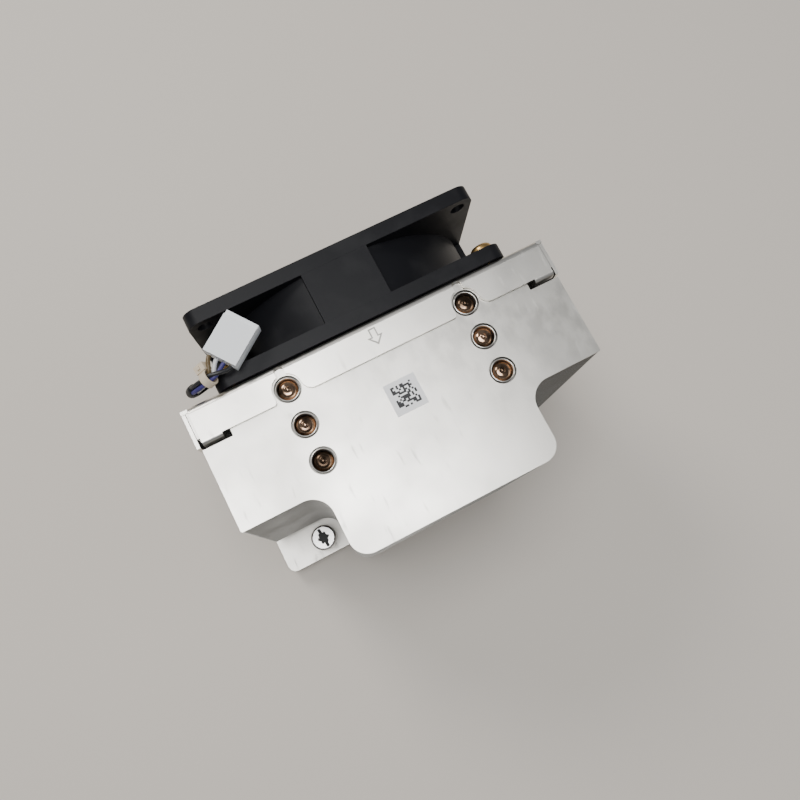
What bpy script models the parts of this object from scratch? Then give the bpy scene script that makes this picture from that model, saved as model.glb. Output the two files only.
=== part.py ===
"""Processor heatsink with a side fan: a fin stack on three heat pipes, a base with four sprung captive
screws, a fan in a sheet bracket, and the fan's lead with its connector.

Sizes are in millimetres and each mesh is scaled to metres once, as it is made. The origin is the middle
of the face that touches the processor. X runs along the wide side, Y towards the fan and Z up.
"""

import math

import bmesh
import bpy
from mathutils import Matrix, Vector
from mathutils.geometry import tessellate_polygon

MM = 0.001

# Clearances
SEAT_GAP = 0.2
RUN_GAP = 0.3

# Base
CONTACT_WIDTH = 46.0
CONTACT_LENGTH = 62.0
CONTACT_THICKNESS = 4.0
BASE_THICKNESS = 4.2
SCREW_PITCH_X = 80.0
SCREW_PITCH_Y = 80.0
BASE_REAR_WIDTH = 114.0
BASE_FRONT_WIDTH = 95.0
BASE_EDGE = 6.0
BASE_CORNER = 3.0

# Heat pipes
PIPE_RADIUS = 3.0
PIPE_SPREAD = 56.6
PIPE_BEND = 13.0
PIPE_PITCH = 11.2
PIPE_FRONT_SETBACK = 7.55
SADDLE_THICKNESS = 2.0
SADDLE_LENGTH = 27.0

# Fins
FRONT_Y = 4.05
FIN_WIDTH = 112.8
TAIL_WIDTH = 63.8
WING_DEPTH = 37.6
FIN_DEPTH = 58.5
FIN_THICKNESS = 0.5
FIN_LOW_Z = 20.6
FIN_COUNT = 20
NOTCH_RADIUS = 6.5
TAIL_RADIUS = 5.5

# Bracket
SHEET = 1.0
FLANGE_DEPTH = 10.5
HOOK_INNER_X = 47.5
HOOK_DROP = 2.6
SLOT_DEPTH = 1.5
SIDE_DEPTH = 11.5
WINDOW_RADIUS = 43.5
KEYHOLE_RADIUS = 4.7
KEYHOLE_NECK = 3.6

# Fan
FAN_HOLE_PITCH = 82.5
FAN_HOLE_EDGE = 4.75
FAN_RISE = 1.2
FAN_DEPTH = 25.0
FAN_FLANGE = 4.5
FAN_CORNER = 4.0
FAN_BORE = 43.3
BARREL_RADIUS = 45.2
PAD_WIDTH = 21.0
FAN_LIFT = 0.8
HUB_RADIUS = 18.0
HUB_WALL = 1.4
BLADE_TIP = 42.3
BLADE_COUNT = 7
BLADE_THICKNESS = 1.2
SHAFT_RADIUS = 1.5

# Captive screws
HEAD_RADIUS = 4.6
HEAD_HEIGHT = 3.0
HEAD_LIFT = 12.5
SHOULDER_RADIUS = 2.5
THREAD_RADIUS = 2.1
GROOVE_RADIUS = 1.6
CLIP_THICKNESS = 0.8
CLIP_RADIUS = 4.3
TIP_Z = 0.6
SPRING_RADIUS = 3.7
SPRING_WIRE = 0.9
SPRING_TURNS = 4

# Fan lead
LEAD_DIAMETER = 3.5
CONNECTOR_LENGTH = 13.0
CONNECTOR_WIDTH = 10.2
CONNECTOR_HEIGHT = 5.5
CONNECTOR_X = -35.8
CONNECTOR_Y = 14.9
CONNECTOR_TURN = math.radians(35.7)
STICKER_SIZE = 9.7

# Places that follow from the sizes
BASE_LOW = CONTACT_THICKNESS + SEAT_GAP
BASE_TOP = BASE_LOW + BASE_THICKNESS
PIPE_Z = CONTACT_THICKNESS + RUN_GAP + PIPE_RADIUS
PIPE_YS = [FRONT_Y - PIPE_FRONT_SETBACK - i * PIPE_PITCH for i in range(3)]
FIN_FRONT = FRONT_Y - SHEET - RUN_GAP
FAN_SIZE = FAN_HOLE_PITCH + 2 * FAN_HOLE_EDGE
FAN_Y = FRONT_Y + SEAT_GAP
FAN_END = FAN_Y + FAN_DEPTH
FAN_Z = BASE_TOP + FAN_LIFT + FAN_SIZE / 2
FAN_TOP = FAN_Z + FAN_SIZE / 2
TOP_Z = FAN_TOP - FAN_RISE
FLANGE_LOW = TOP_Z + SEAT_GAP
FLANGE_TOP = FLANGE_LOW + SHEET
SIDE_IN = FIN_WIDTH / 2 + RUN_GAP
SIDE_OUT = SIDE_IN + SHEET

NICKEL = ((0.80, 0.78, 0.75), 1.0, 0.32)
COPPER = ((0.72, 0.36, 0.22), 1.0, 0.30)
BLACK = ((0.02, 0.021, 0.024), 0.0, 0.45)
STEEL = ((0.60, 0.60, 0.62), 1.0, 0.30)
BRASS = ((0.75, 0.52, 0.22), 1.0, 0.35)
WHITE = ((0.86, 0.87, 0.88), 0.0, 0.40)
GREEN = ((0.02, 0.16, 0.06), 0.0, 0.45)
RUBBER = ((0.03, 0.03, 0.03), 0.0, 0.75)
IVORY = ((0.80, 0.72, 0.58), 0.0, 0.45)
FERRITE = ((0.10, 0.10, 0.11), 0.0, 0.60)


def material_of(name, look):
    colour, metallic, roughness = look
    material = bpy.data.materials.new(name)
    material.use_nodes = True
    shader = material.node_tree.nodes["Principled BSDF"]
    shader.inputs["Base Color"].default_value = (*colour, 1.0)
    shader.inputs["Metallic"].default_value = metallic
    shader.inputs["Roughness"].default_value = roughness
    return material


def mesh_of(name, points, faces):
    """A mesh in metres from points in millimetres, with its faces turned outwards."""
    mesh = bpy.data.meshes.new(name)
    mesh.from_pydata([Vector(point) * MM for point in points], [], faces)
    work = bmesh.new()
    work.from_mesh(mesh)
    bmesh.ops.recalc_face_normals(work, faces=work.faces)
    work.to_mesh(mesh)
    work.free()
    return mesh


def add(name, data, look, place=(0.0, 0.0, 0.0)):
    """An object of this node name with its own material, at a place in millimetres."""
    if not data.materials:
        data.materials.append(material_of(data.name, look))
    item = bpy.data.objects.new(name, data)
    item.location = Vector(place) * MM
    bpy.context.scene.collection.objects.link(item)
    return item


def turned(axis, u, v, w):
    """The point with plane coordinates u, v at height w along the named axis."""
    return {"X": (w, u, v), "Y": (u, w, v), "Z": (u, v, w)}[axis]


def ring(radius, sides, centre=(0.0, 0.0), around=False):
    """A circle's corners. With around, its flats touch the circle from outside, as a hole's do."""
    if around:
        radius = radius / math.cos(math.pi / sides)
    return [
        (
            centre[0] + radius * math.cos(2 * math.pi * (i + 0.5) / sides),
            centre[1] + radius * math.sin(2 * math.pi * (i + 0.5) / sides),
        )
        for i in range(sides)
    ]


def rounded(corners, steps=3):
    """A closed outline from (u, v, radius) corners, each rounded by an arc of its radius."""
    outline = []
    count = len(corners)
    for i, (u, v, radius) in enumerate(corners):
        here = Vector((u, v))
        if radius <= 0:
            outline.append((u, v))
            continue
        back = (Vector(corners[i - 1][:2]) - here).normalized()
        ahead = (Vector(corners[(i + 1) % count][:2]) - here).normalized()
        half = math.acos(max(-1.0, min(1.0, back.dot(ahead)))) / 2
        reach = radius / math.tan(half)
        middle = here + (back + ahead).normalized() * (radius / math.sin(half))
        start = here + back * reach - middle
        end = here + ahead * reach - middle
        turn = math.atan2(start.x * end.y - start.y * end.x, start.dot(end))
        for step in range(steps + 1):
            angle = turn * step / steps
            spun = Matrix.Rotation(angle, 2) @ start
            outline.append(tuple(middle + spun))
    return outline


def prism(name, loops, low, high, axis="Z"):
    """A solid between two heights along an axis, with an outer outline and any holes in it."""
    flat = [point for loop in loops for point in loop]
    count = len(flat)
    cap = tessellate_polygon([[Vector((u, v, 0.0)) for u, v in loop] for loop in loops])
    points = [turned(axis, u, v, low) for u, v in flat]
    points += [turned(axis, u, v, high) for u, v in flat]
    faces = [tuple(tri) for tri in cap] + [tuple(i + count for i in tri) for tri in cap]
    first = 0
    for loop in loops:
        for i in range(len(loop)):
            a, b = first + i, first + (i + 1) % len(loop)
            faces.append((a, b, b + count, a + count))
        first += len(loop)
    return mesh_of(name, points, faces)


def lathe(name, profile, sides, axis="Z", loop=False):
    """A turned solid from (radius, height) points. With loop, the profile closes on itself as a ring."""
    points, rows = [], []
    for radius, height in profile:
        if radius == 0:
            rows.append([len(points)] * sides)
            points.append(turned(axis, 0.0, 0.0, height))
            continue
        rows.append(list(range(len(points), len(points) + sides)))
        points += [turned(axis, u, v, height) for u, v in ring(radius, sides)]
    faces = []
    pairs = list(zip(rows, rows[1:]))
    if loop:
        pairs.append((rows[-1], rows[0]))
    for lower, upper in pairs:
        for i in range(sides):
            j = (i + 1) % sides
            face = [lower[i], lower[j], upper[j], upper[i]]
            faces.append(tuple(dict.fromkeys(face)))
    return mesh_of(name, points, faces)


def box(name, low, high):
    outline = [(low[0], low[1]), (high[0], low[1]), (high[0], high[1]), (low[0], high[1])]
    return prism(name, [outline], low[2], high[2])


def combined(name, first, steps):
    """The mesh left after joining ("UNION") or cutting ("DIFFERENCE") each further mesh in turn."""
    work = bpy.data.objects.new(name + "_work", first)
    bpy.context.scene.collection.objects.link(work)
    helpers = []
    for operation, data in steps:
        helper = bpy.data.objects.new(name + "_tool", data)
        helper.hide_render = True
        helper.display_type = "WIRE"
        bpy.context.scene.collection.objects.link(helper)
        helpers.append(helper)
        modifier = work.modifiers.new("shape", "BOOLEAN")
        modifier.operation = operation
        modifier.solver = "EXACT"
        modifier.object = helper
    bpy.context.view_layer.update()
    graph = bpy.context.evaluated_depsgraph_get()
    mesh = bpy.data.meshes.new_from_object(work.evaluated_get(graph))
    mesh.name = name
    for item in [work, *helpers]:
        bpy.data.objects.remove(item)
    return mesh


def tube(name, points, radius, resolution, scales=None):
    """A curve with a round section along points in millimetres, with its ends filled."""
    curve = bpy.data.curves.new(name, "CURVE")
    curve.dimensions = "3D"
    curve.bevel_depth = radius * MM
    curve.bevel_resolution = resolution
    curve.use_fill_caps = True
    spline = curve.splines.new("POLY")
    spline.points.add(len(points) - 1)
    for i, point in enumerate(points):
        spline.points[i].co = (*(Vector(point) * MM), 1.0)
        spline.points[i].radius = scales[i] if scales else 1.0
    return curve


def smooth(knots, count):
    """Points spread evenly along a smooth curve through the given places."""
    knots = [Vector(knot) for knot in knots]
    padded = [2 * knots[0] - knots[1], *knots, 2 * knots[-1] - knots[-2]]
    fine = []
    for a, b, c, d in zip(padded, padded[1:], padded[2:], padded[3:]):
        for step in range(20):
            t = step / 20
            fine.append(
                b
                + 0.5 * (c - a) * t
                + 0.5 * (2 * a - 5 * b + 4 * c - d) * t**2
                + 0.5 * (3 * b - a - 3 * c + d) * t**3
            )
    fine.append(knots[-1])
    lengths = [0.0]
    for a, b in zip(fine, fine[1:]):
        lengths.append(lengths[-1] + (b - a).length)
    spread = []
    for i in range(count):
        goal = lengths[-1] * i / (count - 1)
        k = max(j for j in range(len(lengths) - 1) if lengths[j] <= goal + 1e-9)
        part = (goal - lengths[k]) / max(lengths[k + 1] - lengths[k], 1e-9)
        spread.append(fine[k].lerp(fine[k + 1], min(part, 1.0)))
    return spread


def make_base():
    contact = box(
        "contact_plate",
        (-CONTACT_WIDTH / 2, -CONTACT_LENGTH / 2, 0.0),
        (CONTACT_WIDTH / 2, CONTACT_LENGTH / 2, CONTACT_THICKNESS),
    )
    add("contact_plate", contact, COPPER)
    rear, front = -SCREW_PITCH_Y / 2 - BASE_EDGE, SCREW_PITCH_Y / 2 + BASE_EDGE
    wide, slim = BASE_REAR_WIDTH / 2, BASE_FRONT_WIDTH / 2
    outline = rounded(
        [
            (-wide, rear, BASE_CORNER),
            (wide, rear, BASE_CORNER),
            (wide, -12.0, BASE_CORNER),
            (slim, 0.0, BASE_CORNER),
            (slim, front, BASE_CORNER),
            (-slim, front, BASE_CORNER),
            (-slim, 0.0, BASE_CORNER),
            (-wide, -12.0, BASE_CORNER),
        ]
    )
    holes = [ring(SHOULDER_RADIUS + RUN_GAP, 12, place, around=True) for place in screw_places()]
    # The slot lets the pipe's bend rise through the plate.
    drop = PIPE_Z + PIPE_BEND - BASE_TOP
    reach = PIPE_SPREAD / 2 - PIPE_BEND + math.sqrt((PIPE_BEND + PIPE_RADIUS) ** 2 - drop**2) + 2 * RUN_GAP
    half = PIPE_RADIUS + RUN_GAP
    for y in PIPE_YS:
        holes.append([(-reach, y - half), (reach, y - half), (reach, y + half), (-reach, y + half)])
    add("base_plate", prism("base_plate", [outline, *holes], BASE_LOW, BASE_TOP), NICKEL)

    low, roof = BASE_TOP + SEAT_GAP, PIPE_Z + PIPE_RADIUS + RUN_GAP
    edge = PIPE_RADIUS + RUN_GAP + 3.0
    profile = [(PIPE_YS[2] - edge, low)]
    for y in reversed(PIPE_YS):
        profile += [(y - half, low), (y - half, roof), (y + half, roof), (y + half, low)]
    profile += [
        (PIPE_YS[0] + edge, low),
        (PIPE_YS[0] + edge, roof + SADDLE_THICKNESS),
        (PIPE_YS[2] - edge, roof + SADDLE_THICKNESS),
    ]
    saddle = prism("pipe_saddle", [profile], -SADDLE_LENGTH / 2, SADDLE_LENGTH / 2, "X")
    add("pipe_saddle", saddle, NICKEL)


def make_pipes():
    x, bend = PIPE_SPREAD / 2, PIPE_BEND
    tip = TOP_Z + 0.3
    ends = [(0.0, 0.22), (0.5, 0.30), (0.9, 0.62), (1.7, 0.88), (2.9, 1.0)]
    for name, y in zip(("front", "middle", "rear"), PIPE_YS):
        half = [((x, y, tip - drop), scale) for drop, scale in ends]
        half.append(((x, y, PIPE_Z + bend + 2.0), 1.0))
        for step in range(7):
            angle = math.pi / 2 * step / 6
            point = (x - bend + bend * math.cos(angle), y, PIPE_Z + bend - bend * math.sin(angle))
            half.append((point, 1.0))
        whole = half + [((-px, py, pz), scale) for (px, py, pz), scale in reversed(half)]
        points = [point for point, _ in whole]
        scales = [scale for _, scale in whole]
        curve = tube("heat_pipe_" + name, points, PIPE_RADIUS, 2, scales)
        add("heat_pipe_" + name, curve, COPPER)


def fin_corners():
    wide, tail = FIN_WIDTH / 2, TAIL_WIDTH / 2
    rear, wing = FRONT_Y - FIN_DEPTH, FRONT_Y - WING_DEPTH
    right = [(tail, rear, TAIL_RADIUS), (tail, wing, NOTCH_RADIUS), (wide, wing, 0.0)]
    return right, (wide, FIN_FRONT, 0.0)


def mirrored(right):
    """The whole outline from its right half, which runs from the rear to the front."""
    return right + [(-u, v, radius) for u, v, radius in reversed(right)]


def make_fins():
    right, corner = fin_corners()
    holes = []
    for side in (-1, 1):
        for y in PIPE_YS:
            centre = (side * PIPE_SPREAD / 2, y)
            holes.append(ring(PIPE_RADIUS + RUN_GAP, 8, centre, around=True))
    outline = rounded(mirrored(right + [corner]))
    plain = prism("fin", [outline, *holes], 0.0, FIN_THICKNESS)
    pitch = (TOP_Z - FIN_THICKNESS - FIN_LOW_Z) / FIN_COUNT
    for i in range(FIN_COUNT):
        add("fin_%02d" % (i + 1), plain, NICKEL, (0.0, 0.0, FIN_LOW_Z + i * pitch))

    hook = FRONT_Y - FLANGE_DEPTH
    rear, front, inner = hook - SLOT_DEPTH, hook + SHEET + RUN_GAP, HOOK_INNER_X - RUN_GAP
    wide = FIN_WIDTH / 2
    slot = [(wide, rear, 0.0), (inner, rear, 0.0), (inner, front, 0.0), (wide, front, 0.0)]
    outline = rounded(mirrored(right + slot + [corner]))
    holes = [
        ring(PIPE_RADIUS + RUN_GAP, 12, (side * PIPE_SPREAD / 2, y), around=True)
        for side in (-1, 1)
        for y in PIPE_YS
    ]
    add("top_fin", prism("top_fin", [outline, *holes], TOP_Z - FIN_THICKNESS, TOP_Z), NICKEL)


def fan_corners():
    reach = FAN_HOLE_PITCH / 2
    return [(sx * reach, FAN_Z + sz * reach) for sz in (1, -1) for sx in (-1, 1)]


def flange_outline(wide, rear, front):
    """The top flange seen from above, with a keyhole let into its rear edge round each front pipe."""
    neck, reach = KEYHOLE_NECK / 2, KEYHOLE_RADIUS
    y = PIPE_YS[0]
    lean = math.asin(neck / reach)
    dip = math.asin((y - rear) / reach)
    mouth = FRONT_Y - 2 * SHEET
    outline = [(-wide, rear)]
    for x in (-PIPE_SPREAD / 2, PIPE_SPREAD / 2):
        for step in range(9):
            angle = math.pi + dip - (math.pi / 2 + dip - lean) * step / 8
            outline.append((x + reach * math.cos(angle), y + reach * math.sin(angle)))
        outline += [(x - neck, mouth - neck), (x - neck * 0.5, mouth)]
        outline += [(x + neck * 0.5, mouth), (x + neck, mouth - neck)]
        for step in range(9):
            angle = math.pi / 2 - lean - (math.pi / 2 + dip - lean) * step / 8
            outline.append((x + reach * math.cos(angle), y + reach * math.sin(angle)))
    return [*outline, (wide, rear), (wide, front), (-wide, front)]


def make_bracket():
    front, back = FRONT_Y, FRONT_Y - SHEET
    rear = FRONT_Y - FLANGE_DEPTH
    low = FAN_Z - FAN_SIZE / 2 + 1.0
    wide = FIN_WIDTH / 2 - 0.9
    top = FLANGE_TOP - 0.1
    sides = [(-SIDE_OUT, low), (SIDE_OUT, low), (SIDE_OUT, TOP_Z - 0.6), (wide, TOP_Z - 0.6)]
    sides += [(wide, top), (-wide, top), (-wide, TOP_Z - 0.6), (-SIDE_OUT, TOP_Z - 0.6)]
    holes = [ring(WINDOW_RADIUS, 48, (0.0, FAN_Z))]
    holes += [ring(2.3, 10, place, around=True) for place in fan_corners()]
    plate = prism("fan_bracket", [sides, *holes], back, front, "Y")
    flange = prism("flange", [flange_outline(wide - 0.1, rear, front - 0.1)], FLANGE_LOW, FLANGE_TOP)
    steps = [("UNION", flange)]
    for side in (-1, 1):
        inner, outer = sorted((side * SIDE_IN, side * (SIDE_OUT - 0.05)))
        wall = box("side_wall", (inner, FRONT_Y - SIDE_DEPTH, FIN_LOW_Z), (outer, front - 0.3, TOP_Z - 1.0))
        steps.append(("UNION", wall))
        inner, outer = sorted((side * HOOK_INNER_X, side * (wide - 0.3)))
        low = (inner, rear + 0.05, FLANGE_LOW - HOOK_DROP)
        hook = box("hook", low, (outer, rear + SHEET, FLANGE_TOP - 0.3))
        steps.append(("UNION", hook))
    add("fan_bracket", combined("fan_bracket", plate, steps), NICKEL)


def make_fan_frame():
    half = FAN_SIZE / 2
    signs = ((-1, -1), (1, -1), (1, 1), (-1, 1))
    square = rounded([(sx * half, sz * half, FAN_CORNER) for sx, sz in signs])
    square = [(u, v + FAN_Z) for u, v in square]
    inner = prism("fan_frame", [square], FAN_Y, FAN_Y + FAN_FLANGE, "Y")
    outer = prism("outer_flange", [square], FAN_END - FAN_FLANGE, FAN_END, "Y")
    start, end = FAN_Y + FAN_FLANGE / 2, FAN_END - FAN_FLANGE / 2
    barrel = prism("barrel", [ring(BARREL_RADIUS, 48, (0.0, FAN_Z))], start, end, "Y")
    pad = PAD_WIDTH / 2
    flush = half - 0.05
    across = [(-flush, FAN_Z - pad), (flush, FAN_Z - pad), (flush, FAN_Z + pad), (-flush, FAN_Z + pad)]
    upright = [(-pad, FAN_Z - flush), (pad, FAN_Z - flush), (pad, FAN_Z + flush), (-pad, FAN_Z + flush)]
    steps = [("UNION", barrel), ("UNION", outer)]
    steps.append(("UNION", prism("pads_across", [across], start, end, "Y")))
    steps.append(("UNION", prism("pads_upright", [upright], start, end, "Y")))
    bore = prism("bore", [ring(FAN_BORE, 48, (0.0, FAN_Z))], FAN_Y - 5, FAN_END + 5, "Y")
    steps.append(("DIFFERENCE", bore))
    for place in fan_corners():
        hole = prism("hole", [ring(2.3, 10, place)], FAN_Y - 2, FAN_END + 2, "Y")
        steps.append(("DIFFERENCE", hole))
    # The motor cup and its four arms stand on the bracket's side.
    for turn in range(4):
        angle = math.radians(38 + 90 * turn)
        along = Vector((math.cos(angle), math.sin(angle)))
        across_way = Vector((-along.y, along.x))
        corners = []
        for reach, side in ((15.2, -1), (44.4, -1), (44.4, 1), (15.2, 1)):
            spot = along * reach + across_way * side * 1.7
            corners.append((spot.x, spot.y + FAN_Z))
        steps.append(("UNION", prism("arm", [corners], FAN_Y + 0.4, FAN_Y + 3.4, "Y")))
    cup = prism("cup", [ring(HUB_RADIUS + 0.5, 32, (0.0, FAN_Z))], FAN_Y, FAN_Y + 2.0, "Y")
    steps.append(("UNION", cup))
    post = [ring(4.9, 16, (0.0, FAN_Z)), ring(3.7, 16, (0.0, FAN_Z), around=True)]
    steps.append(("UNION", prism("bearing_post", post, FAN_Y + 1.2, FAN_Y + 17.0, "Y")))
    add("fan_frame", combined("fan_frame", inner, steps), BLACK)


def blade_mesh(turn):
    """One swept blade: a thin curved sheet between the hub wall and the tip."""
    rows, columns = 4, 4
    root = HUB_RADIUS - HUB_WALL / 2
    middle = []
    for i in range(rows):
        part = i / (rows - 1)
        radius = root + (BLADE_TIP - root) * part
        line = []
        for j in range(columns):
            along = j / (columns - 1) - 0.5
            pitch = math.radians(52 - 20 * part)
            chord = 20.0 + 7.0 * part
            curve = 2.0 * (0.25 - along * along)
            shift = (along * chord * math.cos(pitch) + curve) / radius
            angle = turn + shift - 0.28 * part * part
            height = 13.6 + along * chord * math.sin(pitch)
            line.append(Vector((radius * math.cos(angle), height, radius * math.sin(angle))))
        middle.append(line)
    points = []
    for face in (-1, 1):
        for i in range(rows):
            for j in range(columns):
                du = middle[min(i + 1, rows - 1)][j] - middle[max(i - 1, 0)][j]
                dv = middle[i][min(j + 1, columns - 1)] - middle[i][max(j - 1, 0)]
                normal = du.cross(dv).normalized()
                points.append(middle[i][j] + normal * face * BLADE_THICKNESS / 2)
    count = rows * columns
    faces = []
    for i in range(rows - 1):
        for j in range(columns - 1):
            a = i * columns + j
            quad = (a, a + 1, a + columns + 1, a + columns)
            faces += [quad, tuple(k + count for k in quad)]
    rim = [j for j in range(columns)]
    rim += [i * columns + columns - 1 for i in range(1, rows)]
    rim += [(rows - 1) * columns + j for j in range(columns - 2, -1, -1)]
    rim += [i * columns for i in range(rows - 2, 0, -1)]
    for a, b in zip(rim, rim[1:] + rim[:1]):
        faces.append((a, b, b + count, a + count))
    return mesh_of("blade", points, faces)


def make_fan_motor():
    """The rotor and stator pieces. Heights run from the fan's rear face, along its axis."""
    place = (0.0, FAN_Y, FAN_Z)
    end = FAN_DEPTH - 1.6
    inside = end - HUB_WALL
    hub_low = 5.0
    wall = HUB_RADIUS - HUB_WALL
    hub = lathe(
        "fan_impeller",
        [
            (0.0, end),
            (HUB_RADIUS - 1.2, end),
            (HUB_RADIUS, end - 1.2),
            (HUB_RADIUS, hub_low),
            (wall, hub_low),
            (wall, inside),
            (3.6, inside),
            (3.6, inside - 3.0),
            (1.9, inside - 3.0),
            (1.9, inside),
            (0.0, inside),
        ],
        28,
        "Y",
    )
    steps = [("UNION", blade_mesh(2 * math.pi * i / BLADE_COUNT)) for i in range(BLADE_COUNT)]
    add("fan_impeller", combined("fan_impeller", hub, steps), BLACK, place)

    def hoop(name, outer, inner, low, high, look, sides=24):
        profile = [(outer, low), (outer, high), (inner, high), (inner, low)]
        add(name, lathe(name, profile, sides, "Y", loop=True), look, place)

    yoke_out = wall - RUN_GAP
    hoop("rotor_yoke", yoke_out, yoke_out - 0.9, hub_low + 0.4, inside - RUN_GAP, STEEL)
    hoop("magnet_ring", yoke_out - 1.2, yoke_out - 2.6, hub_low + 1.4, inside - 5.0, FERRITE)
    hoop("motor_board", 14.0, 5.3, 2.8, 4.2, GREEN)
    hoop("winding_rear", 10.2, 5.3, 4.6, 6.9, COPPER)
    hoop("winding_front", 10.2, 5.3, 14.1, 16.4, COPPER)
    hoop("bearing_rear", 3.5, 1.8, 2.9, 5.9, STEEL, 16)
    hoop("bearing_front", 3.5, 1.8, 13.6, 16.6, STEEL, 16)
    shaft_end = inside - 0.3
    profile = [(0.0, 2.4), (SHAFT_RADIUS, 2.4), (SHAFT_RADIUS, shaft_end), (0.0, shaft_end)]
    shaft = lathe("fan_shaft", profile, 12, "Y")
    add("fan_shaft", shaft, STEEL, place)
    core = []
    tooth = [(-41, 5.9), (-26, 10.6), (-38, 11.2), (-36, 12.4), (-12, 12.6)]
    tooth += [(12, 12.6), (36, 12.4), (38, 11.2), (26, 10.6)]
    for pole in range(4):
        for angle, radius in tooth:
            spot = math.radians(90 * pole + angle)
            core.append((radius * math.cos(spot), radius * math.sin(spot)))
    stator = prism("stator_core", [core, ring(5.1, 16, around=True)], 7.2, 13.8, "Y")
    add("stator_core", stator, STEEL, place)


def make_fan_screws():
    head_low = FAN_Y + FAN_FLANGE + SEAT_GAP
    profile = [
        (0.0, FRONT_Y - SHEET + 0.1),
        (1.9, FRONT_Y - SHEET + 0.1),
        (1.9, head_low),
        (3.4, head_low),
        (3.4, head_low + 1.4),
        (2.4, head_low + 2.3),
        (0.0, head_low + 2.3),
    ]
    screw = lathe("fan_screw", profile, 12, "Y")
    for i, (x, z) in enumerate(fan_corners()):
        add("fan_screw_%d" % (i + 1), screw, BRASS, (x, 0.0, z))


def screw_places():
    x, y = SCREW_PITCH_X / 2, SCREW_PITCH_Y / 2
    return [(-x, -y), (x, -y), (-x, y), (x, y)]


def make_captive_screws():
    top = BASE_TOP + HEAD_LIFT
    under = top - HEAD_HEIGHT
    clip_top = BASE_LOW - RUN_GAP
    clip_low = clip_top - CLIP_THICKNESS
    profile = [
        (0.0, top),
        (HEAD_RADIUS - 0.8, top),
        (HEAD_RADIUS, top - 0.8),
        (HEAD_RADIUS, under),
        (SHOULDER_RADIUS, under),
        (SHOULDER_RADIUS, clip_top + RUN_GAP),
        (GROOVE_RADIUS, clip_top + RUN_GAP),
        (GROOVE_RADIUS, clip_low - RUN_GAP),
        (THREAD_RADIUS, clip_low - RUN_GAP),
        (THREAD_RADIUS, TIP_Z + 0.7),
        (THREAD_RADIUS - 0.7, TIP_Z),
        (0.0, TIP_Z),
    ]
    blank = lathe("captive_screw", profile, 16)
    steps = []
    for size in ((2.7, 0.7), (0.7, 2.7)):
        cross = box("cross", (-size[0], -size[1], top - 1.8), (size[0], size[1], top + 1.0))
        steps.append(("DIFFERENCE", cross))
    screw = combined("captive_screw", blank, steps)
    clip_in = GROOVE_RADIUS + 0.35
    outline = []
    for step in range(13):
        angle = math.radians(-62 + 304 * step / 12) + math.pi / 2 + math.radians(60)
        outline.append((CLIP_RADIUS * math.cos(angle), CLIP_RADIUS * math.sin(angle)))
    for step in range(13):
        angle = math.radians(242 - 304 * step / 12) + math.pi / 2 + math.radians(60)
        outline.append((clip_in * math.cos(angle), clip_in * math.sin(angle)))
    clip = prism("screw_clip", [outline], clip_low, clip_top)
    low = BASE_TOP + SPRING_WIRE / 2 + RUN_GAP
    high = under - SPRING_WIRE / 2 - RUN_GAP
    points = []
    count = SPRING_TURNS * 9
    for step in range(count + 1):
        angle = 2 * math.pi * step / 9
        height = low + (high - low) * step / count
        points.append((SPRING_RADIUS * math.cos(angle), SPRING_RADIUS * math.sin(angle), height))
    spring = tube("screw_spring", points, SPRING_WIRE / 2, 1)
    for i, (x, y) in enumerate(screw_places()):
        add("captive_screw_%d" % (i + 1), screw, STEEL, (x, y, 0.0))
        add("screw_clip_%d" % (i + 1), clip, STEEL, (x, y, 0.0))
        add("screw_spring_%d" % (i + 1), spring, STEEL, (x, y, 0.0))


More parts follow.
